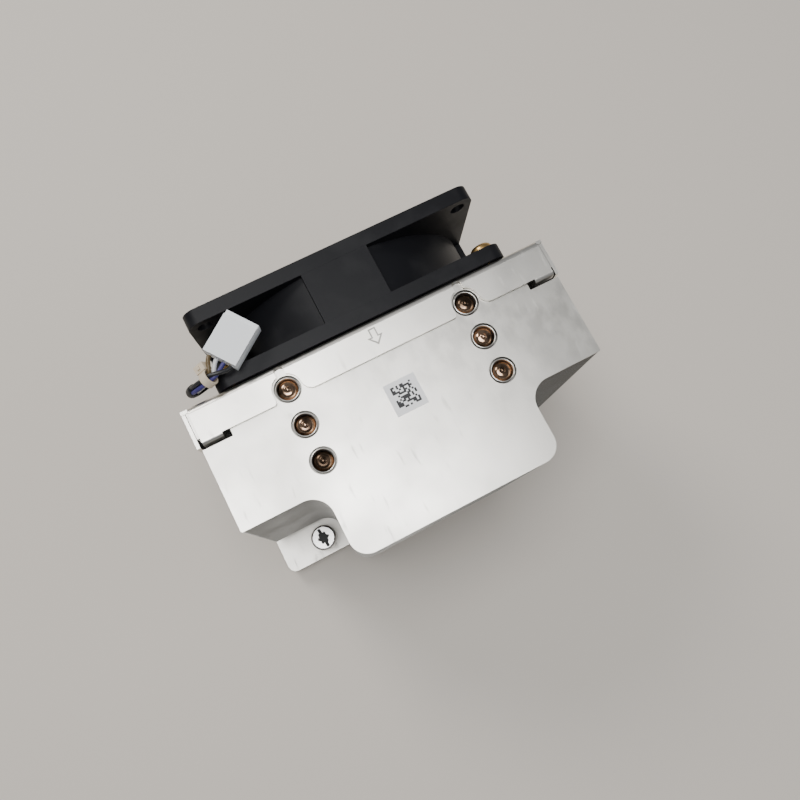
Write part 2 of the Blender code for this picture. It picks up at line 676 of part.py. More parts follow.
def make_lead():
    low = FAN_TOP + RUN_GAP
    wide, high = CONNECTOR_WIDTH / 2, CONNECTOR_HEIGHT
    outline = rounded([(-wide, 0.0, 0.5), (wide, 0.0, 0.5), (wide, high, 0.5), (-wide, high, 0.5)], 1)
    holes = []
    for i in range(4):
        y = 2.54 * (i - 1.5)
        z = high / 2
        holes.append([(y - 0.8, z - 0.8), (y + 0.8, z - 0.8), (y + 0.8, z + 0.8), (y - 0.8, z + 0.8)])
    housing = prism("connector_housing", [outline, *holes], -CONNECTOR_LENGTH / 2, CONNECTOR_LENGTH / 2, "X")
    item = add("connector_housing", housing, WHITE, (CONNECTOR_X, CONNECTOR_Y, low))
    item.rotation_euler = (0.0, 0.0, CONNECTOR_TURN)

    axis = Vector((math.cos(CONNECTOR_TURN), math.sin(CONNECTOR_TURN), 0.0))
    face = Vector((CONNECTOR_X, CONNECTOR_Y, low + high / 2)) - axis * (CONNECTOR_LENGTH / 2 + RUN_GAP)
    out = Vector((-0.78, 0.0, 0.62)).normalized()
    port = Vector((0.0, FAN_Y + 9.6, FAN_Z)) + out * BARREL_RADIUS
    start = port + out * (RUN_GAP + 0.2)
    knots = [
        start,
        start + out * 4.5,
        Vector((-47.2, 12.6, 86.6)),
        Vector((-51.4, 10.6, 90.4)),
        Vector((-52.6, 9.0, 95.6)),
        Vector((-50.4, 8.0, 100.6)),
        face - axis * 4.6 + Vector((0.0, 0.0, 0.1)),
        face,
    ]
    points = smooth(knots, 34)
    add("fan_lead", tube("fan_lead", points, LEAD_DIAMETER / 2, 2), RUBBER)

    # The grommet is a ring round the lead, standing on the barrel.
    bore = LEAD_DIAMETER / 2 + RUN_GAP
    profile = [(bore + 1.4, 0.3), (bore + 1.4, 1.6), (bore + 0.6, 2.4), (bore + 0.1, 2.4), (bore + 0.1, 0.3)]
    ring_mesh = lathe("lead_grommet", profile, 12, loop=True)
    grommet = add("lead_grommet", ring_mesh, RUBBER, port + out * 0.35)
    grommet.rotation_euler = out.to_track_quat("Z", "Y").to_euler()

    # The tie is a band with a square head, closed round the lead near the connector.
    spot = points[-6]
    heading = (points[-5] - points[-7]).normalized()
    band = [(2.9 * math.cos(math.radians(a)), 2.9 * math.sin(math.radians(a))) for a in range(36, 325, 24)]
    band = [(4.7, -1.7), (4.7, 1.7), *band]
    tie = prism("cable_tie", [band, ring(bore, 12, around=True)], -1.2, 1.2)
    holder = add("cable_tie", tie, IVORY, spot)
    holder.rotation_euler = heading.to_track_quat("Z", "Y").to_euler()


def make_sticker():
    half = STICKER_SIZE / 2
    x, y = 0.45, FRONT_Y - 23.8
    low = (x - half, y - half, TOP_Z + 0.1)
    add("sticker", box("sticker", low, (x + half, y + half, TOP_Z + 0.25)), WHITE)


def main():
    for item in list(bpy.data.objects):
        bpy.data.objects.remove(item)
    make_base()
    make_pipes()
    make_fins()
    make_bracket()
    make_fan_frame()
    make_fan_motor()
    make_fan_screws()
    make_captive_screws()
    make_lead()
    make_sticker()


main()
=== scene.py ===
"""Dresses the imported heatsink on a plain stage: fins, heat pipes, bracket, fan, screws, lead and sticker.

Sizes are in millimetres in the part's own frame, and each mesh is scaled to metres once, as it is made.
"""

import math

import bmesh
import bpy
import numpy as np
from mathutils import Matrix, Vector
from mathutils.geometry import tessellate_polygon


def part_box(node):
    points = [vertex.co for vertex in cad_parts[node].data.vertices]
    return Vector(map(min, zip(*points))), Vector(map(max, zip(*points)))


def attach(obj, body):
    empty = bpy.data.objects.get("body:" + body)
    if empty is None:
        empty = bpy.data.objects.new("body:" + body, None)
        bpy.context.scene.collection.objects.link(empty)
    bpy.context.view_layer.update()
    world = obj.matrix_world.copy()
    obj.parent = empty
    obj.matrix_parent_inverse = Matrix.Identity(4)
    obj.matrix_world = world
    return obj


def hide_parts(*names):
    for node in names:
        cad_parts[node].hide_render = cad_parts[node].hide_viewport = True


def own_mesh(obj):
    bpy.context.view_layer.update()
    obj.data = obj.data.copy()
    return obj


bl_info = {
    "name": "Heatsink with fan",
    "version": (1, 0, 0),
    "blender": (4, 5, 0),
    "location": "View3D > Sidebar > Heatsink",
    "description": "Builds the visual pieces of a processor heatsink with a side fan",
    "category": "Object",
}

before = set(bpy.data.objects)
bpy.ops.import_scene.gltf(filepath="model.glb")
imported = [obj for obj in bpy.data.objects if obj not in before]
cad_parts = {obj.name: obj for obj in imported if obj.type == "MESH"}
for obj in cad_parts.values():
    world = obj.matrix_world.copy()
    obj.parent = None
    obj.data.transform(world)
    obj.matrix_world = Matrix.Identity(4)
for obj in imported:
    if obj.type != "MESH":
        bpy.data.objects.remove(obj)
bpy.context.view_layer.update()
MM = 0.001
ROOT = "heatsink"


def corners(node):
    """A node's lowest and highest corner in millimetres."""
    low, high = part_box(node)
    return np.array(low) / MM, np.array(high) / MM


# Places read from the solids
TOP_FIN = corners("top_fin")
TOP_Z = TOP_FIN[1][2]
FIN_WIDE = TOP_FIN[1][0]
FIN_LOW = corners("fin_01")[0][2]
BASE_TOP = corners("base_plate")[1][2]
BRACKET = corners("fan_bracket")
FAN = corners("fan_frame")
FAN_Y, FAN_END = FAN[0][1], FAN[1][1]
FAN_TOP = FAN[1][2]
FAN_Z = (FAN[0][2] + FAN_TOP) / 2
FAN_MIDDLE = np.array([0.0, FAN_Z])
PIPE_NAMES = ("front", "middle", "rear")
PIPES = [corners("heat_pipe_" + name) for name in PIPE_NAMES]
PIPE_RADIUS = (PIPES[0][1][1] - PIPES[0][0][1]) / 2
PIPE_X = PIPES[0][1][0] - PIPE_RADIUS
PIPE_YS = [(low[1] + high[1]) / 2 for low, high in PIPES]
PIPE_Z = PIPES[0][0][2] + PIPE_RADIUS
PIPE_TIP = PIPES[0][1][2]

# Sizes that several pieces share
FAN_GAP = 0.2
FRONT_Y = FAN_Y - FAN_GAP
FLANGE_DEEP = 10.5
HOOK_Y = FRONT_Y - FLANGE_DEEP
TOP_SHEET = 0.5
BARREL_OUT = 45.2
SCREW_PITCH = 80.0
SCREW_SPOTS = [(sx * SCREW_PITCH / 2, sy * SCREW_PITCH / 2) for sy in (-1, 1) for sx in (-1, 1)]
FAN_PITCH = 82.5
FAN_HOLES = [(sx * FAN_PITCH / 2, FAN_Z + sz * FAN_PITCH / 2) for sz in (1, -1) for sx in (-1, 1)]
FAN_HOLE_RADIUS = 2.3


class HeatsinkSizes(bpy.types.PropertyGroup):
    """Sizes that change the look without changing the outside of the part."""

    fin_pitch: bpy.props.FloatProperty(
        name="Fin pitch",
        description="Distance from one fin to the next",
        default=1.99 * MM,
        min=1.2 * MM,
        max=6.0 * MM,
        precision=5,
        subtype="DISTANCE",
        unit="LENGTH",
    )
    fin_sheet: bpy.props.FloatProperty(
        name="Fin thickness",
        description="Sheet of each fin",
        default=0.4 * MM,
        min=0.2 * MM,
        max=1.0 * MM,
        precision=5,
        subtype="DISTANCE",
        unit="LENGTH",
    )
    edge: bpy.props.FloatProperty(
        name="Edge rounding",
        description="Rounding of the fan frame's edges",
        default=0.35 * MM,
        min=0.05 * MM,
        max=1.0 * MM,
        precision=5,
        subtype="DISTANCE",
        unit="LENGTH",
    )
    wire: bpy.props.FloatProperty(
        name="Wire diameter",
        description="Diameter of each wire of the lead",
        default=1.3 * MM,
        min=0.8 * MM,
        max=1.6 * MM,
        precision=5,
        subtype="DISTANCE",
        unit="LENGTH",
    )


class HeatsinkColours(bpy.types.PropertyGroup):
    """Colours of the materials."""

    nickel: bpy.props.FloatVectorProperty(
        name="Plate", description="Nickel plated sheet", subtype="COLOR", size=3, default=(0.78, 0.757, 0.705)
    )
    copper: bpy.props.FloatVectorProperty(
        name="Copper", description="Heat pipes", subtype="COLOR", size=3, default=(0.50, 0.33, 0.22)
    )
    plastic: bpy.props.FloatVectorProperty(
        name="Fan", description="Fan plastic", subtype="COLOR", size=3, default=(0.007, 0.0072, 0.009)
    )
    brass: bpy.props.FloatVectorProperty(
        name="Brass", description="Fan screws", subtype="COLOR", size=3, default=(0.62, 0.40, 0.16)
    )
    nylon: bpy.props.FloatVectorProperty(
        name="Connector", description="White nylon", subtype="COLOR", size=3, default=(0.93, 0.955, 0.98)
    )
    floor: bpy.props.FloatVectorProperty(
        name="Floor", description="Plain stage floor", subtype="COLOR", size=3, default=(0.71, 0.655, 0.585)
    )


def size_of(name):
    """One of the panel's sizes in millimetres."""
    return getattr(bpy.context.scene.heatsink_sizes, name) / MM


def colour_of(name, share=1.0):
    """One of the panel's colours, with each channel times the share."""
    return tuple(share * value for value in getattr(bpy.context.scene.heatsink_colours, name))


# Shapes, each a pair: its points, and a list of face arrays with as many columns as their faces have corners


def ring(radius, sides, centre=(0.0, 0.0), start=0.0):
    """Points round a circle: the centre plus the radius times cosine and sine, at evenly spaced angles."""
    angle = start + 2 * math.pi * np.arange(sides) / sides
    return np.array(centre) + radius * np.stack([np.cos(angle), np.sin(angle)], axis=1)


def arc(radius, centre, start, end, count):
    """Points along part of a circle, both ends included, with angles in degrees."""
    angle = np.radians(np.linspace(start, end, count))
    return np.array(centre) + radius * np.stack([np.cos(angle), np.sin(angle)], axis=1)


def rounded(places, radii, steps=10):
    """A closed outline whose corners are arcs that touch both sides of the corner.

    An arc's middle is on the corner's bisector, the radius over the sine of half the angle away, and its ends
    are the radius over that half angle's tangent along each side. A radius of 0 keeps the corner.
    """
    places = np.array(places, float)
    parts = []
    for here, back, ahead, radius in zip(places, np.roll(places, 1, 0), np.roll(places, -1, 0), radii):
        if radius <= 0:
            parts.append(here[None])
            continue
        a = (back - here) / np.linalg.norm(back - here)
        b = (ahead - here) / np.linalg.norm(ahead - here)
        half = math.acos(float(np.clip(a @ b, -1, 1))) / 2
        middle = here + (a + b) / np.linalg.norm(a + b) * radius / math.sin(half)
        first = here + a * radius / math.tan(half) - middle
        last = here + b * radius / math.tan(half) - middle
        square_to_first = np.array([-first[1], first[0]])
        turn = math.atan2(square_to_first @ last, first @ last)
        angle = turn * np.linspace(0, 1, steps + 1)[:, None]
        parts.append(middle + np.cos(angle) * first + np.sin(angle) * square_to_first)
    return np.concatenate(parts)


def mirrored(points):
    """Points in a plane with their first coordinate's sign changed."""
    return points * np.array([-1.0, 1.0])


def place(axis, plane, height):
    """Points with two coordinates across the named axis and a height, or one height each, along it."""
    u, v = plane[:, 0], plane[:, 1]
    level = np.broadcast_to(height, len(plane))
    return np.stack({"X": (level, u, v), "Y": (u, level, v), "Z": (u, v, level)}[axis], axis=1)


def plate(loops, low, high, axis="Z"):
    """A sheet between two heights: an outline with holes, filled at both and walled with quads along each."""
    flat = np.concatenate(loops)
    count = len(flat)
    cap = np.array(tessellate_polygon([place("Z", loop, 0.0).tolist() for loop in loops]))
    here = np.arange(count)
    onward = here + 1
    ends = np.cumsum([len(loop) for loop in loops])
    onward[ends - 1] = np.concatenate([[0], ends[:-1]])
    walls = np.stack([here, onward, onward + count, here + count], axis=1)
    points = np.concatenate([place(axis, flat, low), place(axis, flat, high)])
    return points, [cap, cap + count, walls]


def block(low, high):
    """A box between two corners: their rectangle carried from the lower height to the upper."""
    outline = np.array([(low[0], low[1]), (high[0], low[1]), (high[0], high[1]), (low[0], high[1])])
    return plate([outline], low[2], high[2])


def grid_faces(rows, columns, wrap=False):
    """Quads of a grid: a point, the next in its row and the two a row on, round the columns if wrapped."""
    i = np.arange(rows - 1)[:, None] * columns
    j = np.arange(columns if wrap else columns - 1)[None]
    k = (j + 1) % columns
    return np.stack([i + j, i + k, i + k + columns, i + j + columns], axis=-1).reshape(-1, 4)


def end_faces(count, sides):
    """The first and the last ring of a tube of so many points, each as one face."""
    return np.stack([np.arange(sides), np.arange(count - sides, count)])


def lathe(profile, sides, axis="Z", centre=(0.0, 0.0), loop=False):
    """A solid of revolution: each (radius, height) point is carried round the axis as a circle at its height.

    The first and last circles are filled, or the profile closes on itself when loop is set.
    """
    profile = np.array(profile, float)
    plane = profile[:, :1, None] * ring(1.0, sides) + np.array(centre)
    points = place(axis, plane.reshape(-1, 2), np.repeat(profile[:, 1], sides))
    if loop:
        return points, [grid_faces(len(profile) + 1, sides, wrap=True) % len(points)]
    return points, [grid_faces(len(profile), sides, wrap=True), end_faces(len(points), sides)]


def path_axes(path, side_hint):
    """Unit directions at each point of a path: along it, the hint crossed with that, and square to both."""
    along = np.gradient(path, axis=0)
    along /= np.linalg.norm(along, axis=1)[:, None]
    side = np.cross(np.array(side_hint, float), along)
    side /= np.linalg.norm(side, axis=1)[:, None]
    return along, side, np.cross(along, side)


def sweep(path, radius, sides, side_hint):
    """A round section carried along a path, with both ends filled.

    Each point is the path's point plus the radius there times cosine along the side and sine along up.
    """
    radius = np.broadcast_to(np.array(radius, float), len(path))
    _, side, up = path_axes(path, side_hint)
    circle = ring(1.0, sides)
    spokes = circle[None, :, :1] * side[:, None] + circle[None, :, 1:] * up[:, None]
    points = (path[:, None] + radius[:, None, None] * spokes).reshape(-1, 3)
    return points, [grid_faces(len(path), sides, wrap=True), end_faces(len(points), sides)]


def closed_sheet(first, second):
    """Two grids of points of the same shape, the skins of a sheet, joined by quads all round their rims."""
    rows, columns = first.shape[:2]
    count = rows * columns
    quads = grid_faces(rows, columns)
    index = np.arange(count).reshape(rows, columns)
    rim = np.concatenate([index[0], index[1:, -1], index[-1, -2::-1], index[-2:0:-1, 0]])
    onward = np.roll(rim, -1)
    edge = np.stack([rim, onward, onward + count, rim + count], axis=1)
    points = np.concatenate([first.reshape(-1, 3), second.reshape(-1, 3)])
    return points, [quads, quads + count, edge]


def smooth_path(knots, count, fine_steps=40):
    """Points spread evenly by length along a smooth curve through the given places.

    Between two places the curve is the cubic whose slope at each is half the step between its two neighbours.
    """
    knots = np.array(knots, float)
    padded = np.concatenate([[2 * knots[0] - knots[1]], knots, [2 * knots[-1] - knots[-2]]])
    t = np.linspace(0, 1, fine_steps, endpoint=False)[None, :, None]
    a, b, c, d = (padded[i : len(padded) - 3 + i][:, None] for i in range(4))
    fine = 0.5 * (2 * b + (c - a) * t + (2 * a - 5 * b + 4 * c - d) * t**2 + (3 * b - a - 3 * c + d) * t**3)
    fine = np.concatenate([fine.reshape(-1, 3), knots[-1:]])
    run = np.concatenate([[0], np.cumsum(np.linalg.norm(np.diff(fine, axis=0), axis=1))])
    goal = np.linspace(0, run[-1], count)
    return np.stack([np.interp(goal, run, fine[:, k]) for k in range(3)], axis=1)


def moved(shell, matrix):
    """The shell with its points put through a 4 by 4 matrix."""
    points, faces = shell
    matrix = np.array(matrix)
    return points @ matrix[:3, :3].T + matrix[:3, 3], faces


def piece(name, shells, material, body=ROOT, nodes=(), edge=0.0, segments=2, crease=35):
    """One object from closed shells, each shell's faces numbered on from the points before it.

    It rides on a body and stands for the named nodes. Edges sharper than the crease, in degrees, stay sharp,
    and a bevel rounds them where an edge size is given.
    """
    bevel_angle = 40
    starts = np.cumsum([0, *[len(points) for points, _ in shells]])
    faces = []
    for start, (_, groups) in zip(starts, shells):
        for group in groups:
            faces += (group + start).tolist()
    mesh = bpy.data.meshes.new(name)
    mesh.from_pydata(np.concatenate([points for points, _ in shells]) * MM, [], faces)
    work = bmesh.new()
    work.from_mesh(mesh)
    bmesh.ops.recalc_face_normals(work, faces=work.faces)
    work.to_mesh(mesh)
    work.free()
    mesh.shade_smooth()
    mesh.set_sharp_from_angle(angle=math.radians(crease))
    mesh.materials.append(material)
    item = bpy.data.objects.new(name, mesh)
    bpy.context.scene.collection.objects.link(item)
    if edge:
        modifier = item.modifiers.new("edge", "BEVEL")
        modifier.width = edge * MM
        modifier.segments = segments
        modifier.limit_method = "ANGLE"
        modifier.angle_limit = math.radians(bevel_angle)
        modifier.harden_normals = True
    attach(item, body)
    if nodes:
        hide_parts(*nodes)
    return item


# Materials


class Socket:
    """An output of a material's nodes. Arithmetic on it, with numbers or other outputs, adds Math nodes."""

    def __init__(self, tree, socket):
        self.tree = tree
        self.socket = socket

    @classmethod
    def node(cls, tree, kind, output, inputs=(), settings=()):
        """Adds any node, with its settings first and then its inputs' values or links. Returns an output."""
        made = tree.nodes.new(kind)
        for key, value in dict(settings).items():
            setattr(made, key, value)
        for key, value in dict(inputs).items():
            if isinstance(value, Socket):
                tree.links.new(value.socket, made.inputs[key])
            else:
                made.inputs[key].default_value = value
        return cls(tree, made.outputs[output])

    def math(self, operation, first, second):
        """A Math node on two values."""
        return Socket.node(self.tree, "ShaderNodeMath", 0, {0: first, 1: second}, {"operation": operation})

    def __add__(self, other):
        return self.math("ADD", self, other)

    def __radd__(self, other):
        return self.math("ADD", other, self)

    def __sub__(self, other):
        return self.math("SUBTRACT", self, other)

    def __rsub__(self, other):
        return self.math("SUBTRACT", other, self)

    def __mul__(self, other):
        return self.math("MULTIPLY", self, other)

    def __rmul__(self, other):
        return self.math("MULTIPLY", other, self)

    def clamped(self):
        """This value kept from 0 to 1."""
        return Socket.node(self.tree, "ShaderNodeClamp", 0, {0: self})

    def between(self, low, high):
        """This value spread from 0 at low to 1 at high, and level beyond them."""
        inputs = {0: self, 1: low, 2: high, 3: 0.0, 4: 1.0}
        return Socket.node(self.tree, "ShaderNodeMapRange", 0, inputs, {"clamp": True})

    def mixed(self, first, second):
        """A colour that runs from the first at 0 to the second at 1."""
        inputs = {0: self, 6: (*first, 1.0), 7: (*second, 1.0)}
        return Socket.node(self.tree, "ShaderNodeMix", 2, inputs, {"data_type": "RGBA"})


def noise(tree, scale, stretch=(1.0, 1.0, 1.0), detail=3.0):
    """Noise over the object's own coordinates, with a scale in cells per metre."""
    where = Socket.node(tree, "ShaderNodeTexCoord", "Object")
    turned = Socket.node(tree, "ShaderNodeMapping", 0, {"Vector": where, "Scale": stretch})
    return Socket.node(tree, "ShaderNodeTexNoise", 0, {"Vector": turned, "Scale": scale, "Detail": detail})


def finish_of(name, colour, metallic, roughness):
    """A material with plain values, its node tree and its shader."""
    material = bpy.data.materials.new(name)
    material.use_nodes = True
    shader = material.node_tree.nodes["Principled BSDF"]
    shader.inputs["Base Color"].default_value = (*colour, 1.0)
    shader.inputs["Metallic"].default_value = metallic
    shader.inputs["Roughness"].default_value = roughness
    return material, material.node_tree, shader


def feed(tree, shader, name, value):
    """Links a value that changes over the surface to one of the shader's inputs."""
    tree.links.new(value.socket, shader.inputs[name])


def bump(tree, shader, height, strength, distance):
    """Tilts the shader's normal by a height that changes over the surface."""
    inputs = {"Height": height, "Strength": strength, "Distance": distance}
    feed(tree, shader, "Normal", Socket.node(tree, "ShaderNodeBump", 0, inputs))


def plated(name, colour, roughness, painted_shade_and_smears=0.0):
    """Nickel plate with cloudy smudges and fine scratches, which mix in a dull shade and roughen it.

    Painted shade: the last argument mixes in more of the dull shade towards the front right, along x times
    its lean plus y, for the plate's reflection that grows dim there, and is broken up by rubbed smears where
    it is strong.
    """
    dull_share, lean = 0.55, 0.55
    _, tree, shader = finish_of(name, colour, 1.0, roughness)
    cloud = noise(tree, scale=38.0, detail=4.0).between(0.35, 0.70)
    streak = noise(tree, scale=700.0, stretch=(1.0, 0.18, 1.0)).between(0.62, 0.76)
    shade = 0.18 * cloud + 0.08 * streak
    if painted_shade_and_smears:
        where = Socket.node(tree, "ShaderNodeTexCoord", "Object")
        x = Socket.node(tree, "ShaderNodeSeparateXYZ", "X", {0: where})
        y = Socket.node(tree, "ShaderNodeSeparateXYZ", "Y", {0: where})
        # Painted shade: a darker falloff towards the front right stands for the plate's reflection growing
        # dim there
        painted_falloff = (lean * x + y + 0.016 * cloud).between(-0.035, 0.030) * painted_shade_and_smears
        smear = noise(tree, scale=230.0, stretch=(1.0, 0.6, 1.0), detail=6.0).between(0.42, 0.62)
        rubbed = (smear - 0.35) * painted_falloff.between(0.10, 0.34) * 0.45
        shade = shade + painted_falloff + rubbed
    dull = tuple(dull_share * value for value in colour)
    feed(tree, shader, "Base Color", shade.clamped().mixed(colour, dull))
    feed(tree, shader, "Roughness", 0.12 * cloud + 0.10 * streak + roughness)
    bump(tree, shader, noise(tree, scale=260.0), 0.05, 0.0002)


def coppery(name, colour):
    """Polished copper, darker, browner and a little rougher in noise patches, which are real stains and in
    part painted dark reflections.
    """
    polish, darkened_share = 0.09, 0.16
    _, tree, shader = finish_of(name, colour, 1.0, polish)
    # Painted reflection in part: the dark patches also stand for dark surroundings mirrored in the domes
    stain_and_dark_reflection = noise(tree, scale=190.0, detail=5.0).between(0.40, 0.60)
    dark = tuple(darkened_share * value for value in colour)
    feed(tree, shader, "Base Color", stain_and_dark_reflection.mixed(colour, dark))
    feed(tree, shader, "Roughness", 0.12 * stain_and_dark_reflection + polish)


def moulded(name, colour, roughness, grain=0.12):
    """Moulded plastic with a fine grain, and faint dust that makes it paler and rougher."""
    dust_tint = 0.010
    _, tree, shader = finish_of(name, colour, 0.0, roughness)
    shader.inputs["Specular IOR Level"].default_value = 0.20
    dust = noise(tree, scale=90.0, detail=5.0).between(0.52, 0.80)
    pale = tuple(value + dust_tint for value in colour)
    feed(tree, shader, "Base Color", dust.mixed(colour, pale))
    feed(tree, shader, "Roughness", 0.15 * dust + roughness)
    bump(tree, shader, noise(tree, scale=3200.0), grain, 0.0001)


def plain(name, colour, metallic, roughness):
    """A finish whose roughness changes faintly round its own value."""
    swing = 0.06
    _, tree, shader = finish_of(name, colour, metallic, roughness)
    feed(tree, shader, "Roughness", 2 * swing * noise(tree, scale=300.0) + (roughness - swing))


def look(name):
    """A material that has been made."""
    return bpy.data.materials[name]


class OBJECT_OT_heatsink_materials(bpy.types.Operator):
    """Makes every material of the part"""

    bl_idname = "object.heatsink_materials"
    bl_label = "Materials"

    def execute(self, context):
        # The top plate gets painted shade towards the front right, with real rubbed smears in it
        plated("plate_nickel", colour_of("nickel"), 0.30, painted_shade_and_smears=0.46)
        # A brighter copy of the nickel: painted light, for the flange and the collar lips that catch the
        # lamps
        plated("flange_nickel", colour_of("nickel", 1.10), 0.27)
        # A darker copy of the nickel: painted shade, for the base plate and saddle under the fins
        plated("base_nickel", colour_of("nickel", 0.76), 0.34)
        # The fin stack's nickel darkened to a third: painted shade, each fin lying in the shadow of the one
        # above
        plated("fin_edges", colour_of("nickel", 0.34), 0.34)
        # A darker copy of the nickel: painted shade of the arrow's pressed relief
        plated("pressed_nickel", colour_of("nickel", 0.42), 0.40)
        coppery("copper_bare", colour_of("copper"))
        moulded("fan_plastic", colour_of("plastic"), 0.42)
        moulded("nylon_white", colour_of("nylon"), 0.36, grain=0.05)
        moulded("nylon_ivory", (0.70, 0.60, 0.46), 0.42, grain=0.05)
        moulded("sleeve_black", (0.016, 0.016, 0.017), 0.50, grain=0.05)
        plain("fan_brass", colour_of("brass"), 1.0, 0.34)
        plain("screw_steel", (0.62, 0.61, 0.60), 1.0, 0.28)
        plain("dark_steel", (0.34, 0.34, 0.35), 1.0, 0.38)
        plain("winding_copper", (0.50, 0.21, 0.09), 1.0, 0.34)
        # Near black for the recess floors: painted shade in the hollow of each screw head
        plain("recess_dark", (0.03, 0.03, 0.03), 0.6, 0.50)
        plain("wire_black", (0.020, 0.020, 0.022), 0.0, 0.38)
        plain("wire_blue", (0.045, 0.038, 0.17), 0.0, 0.38)
        plain("wire_white", (0.68, 0.68, 0.70), 0.0, 0.38)
        plain("wire_brown", (0.13, 0.09, 0.04), 0.0, 0.38)
        plain("paper_white", (0.97, 0.97, 0.98), 0.0, 0.50)
        plain("paper_ink", (0.015, 0.015, 0.017), 0.0, 0.55)
        plain("board_green", (0.02, 0.16, 0.06), 0.0, 0.45)
        plain("magnet_grey", (0.10, 0.10, 0.11), 0.0, 0.60)
        return {"FINISHED"}


# Stage, with places in metres

CAMERA_SPOT = Vector((-0.03059, -0.05723, 0.31335))
CAMERA_RIGHT = Vector((0.88708, -0.45981, 0.0407))
CAMERA_UP = Vector((0.44228, 0.87187, 0.21033))
FOCAL_PIXELS = 780.67
PICTURE_PIXELS = 800.0
SENSOR = 36.0
FLOOR_HALF = 3.0


def area_light(name, spot, aim, size, power, colour):
    """A disk of light at a spot, turned to face its aim."""
    data = bpy.data.lights.new(name, "AREA")
    data.shape = "DISK"
    data.size = size
    data.energy = power
    data.color = colour
    lamp = bpy.data.objects.new(name, data)
    lamp.location = spot
    lamp.rotation_euler = (Vector(aim) - Vector(spot)).to_track_quat("-Z", "Y").to_euler()
    bpy.context.scene.collection.objects.link(lamp)


class OBJECT_OT_heatsink_stage(bpy.types.Operator):
    """Sets up the camera of the photograph, the floor, the room's light and the lamps"""

    bl_idname = "object.heatsink_stage"
    bl_label = "Stage"

    def execute(self, context):
        data = bpy.data.cameras.new("photo_camera")
        data.sensor_width = SENSOR
        data.lens = SENSOR * FOCAL_PIXELS / PICTURE_PIXELS
        data.clip_start = 0.01
        camera = bpy.data.objects.new("photo_camera", data)
        facing = Matrix((CAMERA_RIGHT, CAMERA_UP, CAMERA_RIGHT.cross(CAMERA_UP))).transposed()
        camera.matrix_world = Matrix.Translation(CAMERA_SPOT) @ facing.to_4x4()
        context.scene.collection.objects.link(camera)
        context.scene.camera = camera

        square = FLOOR_HALF * np.array([(-1, -1, 0), (1, -1, 0), (1, 1, 0), (-1, 1, 0)])
        floor = bpy.data.meshes.new("floor")
        floor.from_pydata(square, [], [(0, 1, 2, 3)])
        floor.materials.append(finish_of("floor_pale", colour_of("floor"), 0.0, 0.70)[0])
        ground = bpy.data.objects.new("floor", floor)
        context.scene.collection.objects.link(ground)

        world = bpy.data.worlds.new("soft_room")
        world.use_nodes = True
        background = world.node_tree.nodes["Background"]
        background.inputs["Color"].default_value = (0.80, 0.82, 0.85, 1.0)
        background.inputs["Strength"].default_value = 0.26
        context.scene.world = world
        warm, white, cool = (1.0, 0.97, 0.93), (1.0, 1.0, 1.0), (0.93, 0.96, 1.0)
        area_light("key", (-0.26, 0.60, 0.70), (0.0, 0.0, 0.06), size=0.30, power=3.0, colour=warm)
        area_light("top", (-0.10, 0.02, 1.10), (0.0, 0.0, 0.06), size=0.62, power=8.0, colour=white)
        area_light("rim", (0.70, -0.30, 0.40), (0.0, 0.0, 0.05), size=0.40, power=0.7, colour=cool)
        return {"FINISHED"}


# Lead, with its connector lying on top of the fan frame

CONNECTOR = np.array([-35.8, 14.9, FAN_TOP + 0.3])
CONNECTOR_TURN = math.radians(35.7)
CONNECTOR_SIZE = (13.0, 10.2, 5.5)
CONNECTOR_ALONG = np.array([math.cos(CONNECTOR_TURN), math.sin(CONNECTOR_TURN), 0.0])
CONNECTOR_ACROSS = np.array([-math.sin(CONNECTOR_TURN), math.cos(CONNECTOR_TURN), 0.0])
PINS = 4
PIN_OFFSETS = 2.54 * (np.arange(PINS) - (PINS - 1) / 2)
WIRE_NAMES = ("black", "blue", "white", "brown")
LEAD_DIAMETER = 3.5
LEAD_POINTS = 90
LEAD_HINT = (0, 1, 0)
# The lead leaves the barrel in this direction, so deep behind the face that meets the bracket
LEAD_OUT = (-0.78, 0.0, 0.62)
PORT_DEEP = 9.6
# Shares of the lead's points at which the sleeve ends and the tie sits
SLEEVE_SHARE = 0.70
TIE_SHARE = 28 / 33


def lead_route():
    """The lead's middle line, a smooth curve from the fan barrel, out past the frame, to the connector."""
    start_gap, start_straight, face_gap, face_straight, face_lift = 0.5, 4.5, 0.3, 4.6, 0.1
    length, _, high = CONNECTOR_SIZE
    face = CONNECTOR + np.array([0, 0, high / 2]) - CONNECTOR_ALONG * (length / 2 + face_gap)
    out = np.array(LEAD_OUT) / np.linalg.norm(LEAD_OUT)
    start = np.array([0.0, FAN_Y + PORT_DEEP, FAN_Z]) + out * (BARREL_OUT + start_gap)
    knots = [
        start,
        start + out * start_straight,
        (-47.2, 12.6, 86.6),
        (-51.4, 10.6, 90.4),
        (-52.6, 9.0, 95.6),
        (-50.4, 8.0, 100.6),
        face - CONNECTOR_ALONG * face_straight + np.array([0.0, 0.0, face_lift]),
        face,
    ]
    return smooth_path(knots, LEAD_POINTS)


def connector_shells():
    """The connector: a rounded rectangle with square pin ways, carried along it, and a raised key on top."""
    length, wide, high = CONNECTOR_SIZE
    corner, way, key_drop, key_sink, key_short, key_inset = 0.4, 0.8, 0.45, 0.9, 1.3, 0.02
    body_top = high - key_drop
    places = [(-wide / 2, 0), (wide / 2, 0), (wide / 2, body_top), (-wide / 2, body_top)]
    ways = [ring(way, sides=4, centre=(offset, high / 2), start=math.pi / 4) for offset in PIN_OFFSETS]
    body = plate([rounded(places, [corner] * 4, steps=3), *ways], -length / 2, length / 2, "X")
    key_low = (-length / 2, -wide / 2 + key_inset, high - key_sink)
    key = block(key_low, (length / 2 - key_short, wide / 2 - key_inset, high))
    to_place = Matrix.Translation(Vector(CONNECTOR)) @ Matrix.Rotation(CONNECTOR_TURN, 4, "Z")
    return [moved(shell, to_place) for shell in (body, key)]


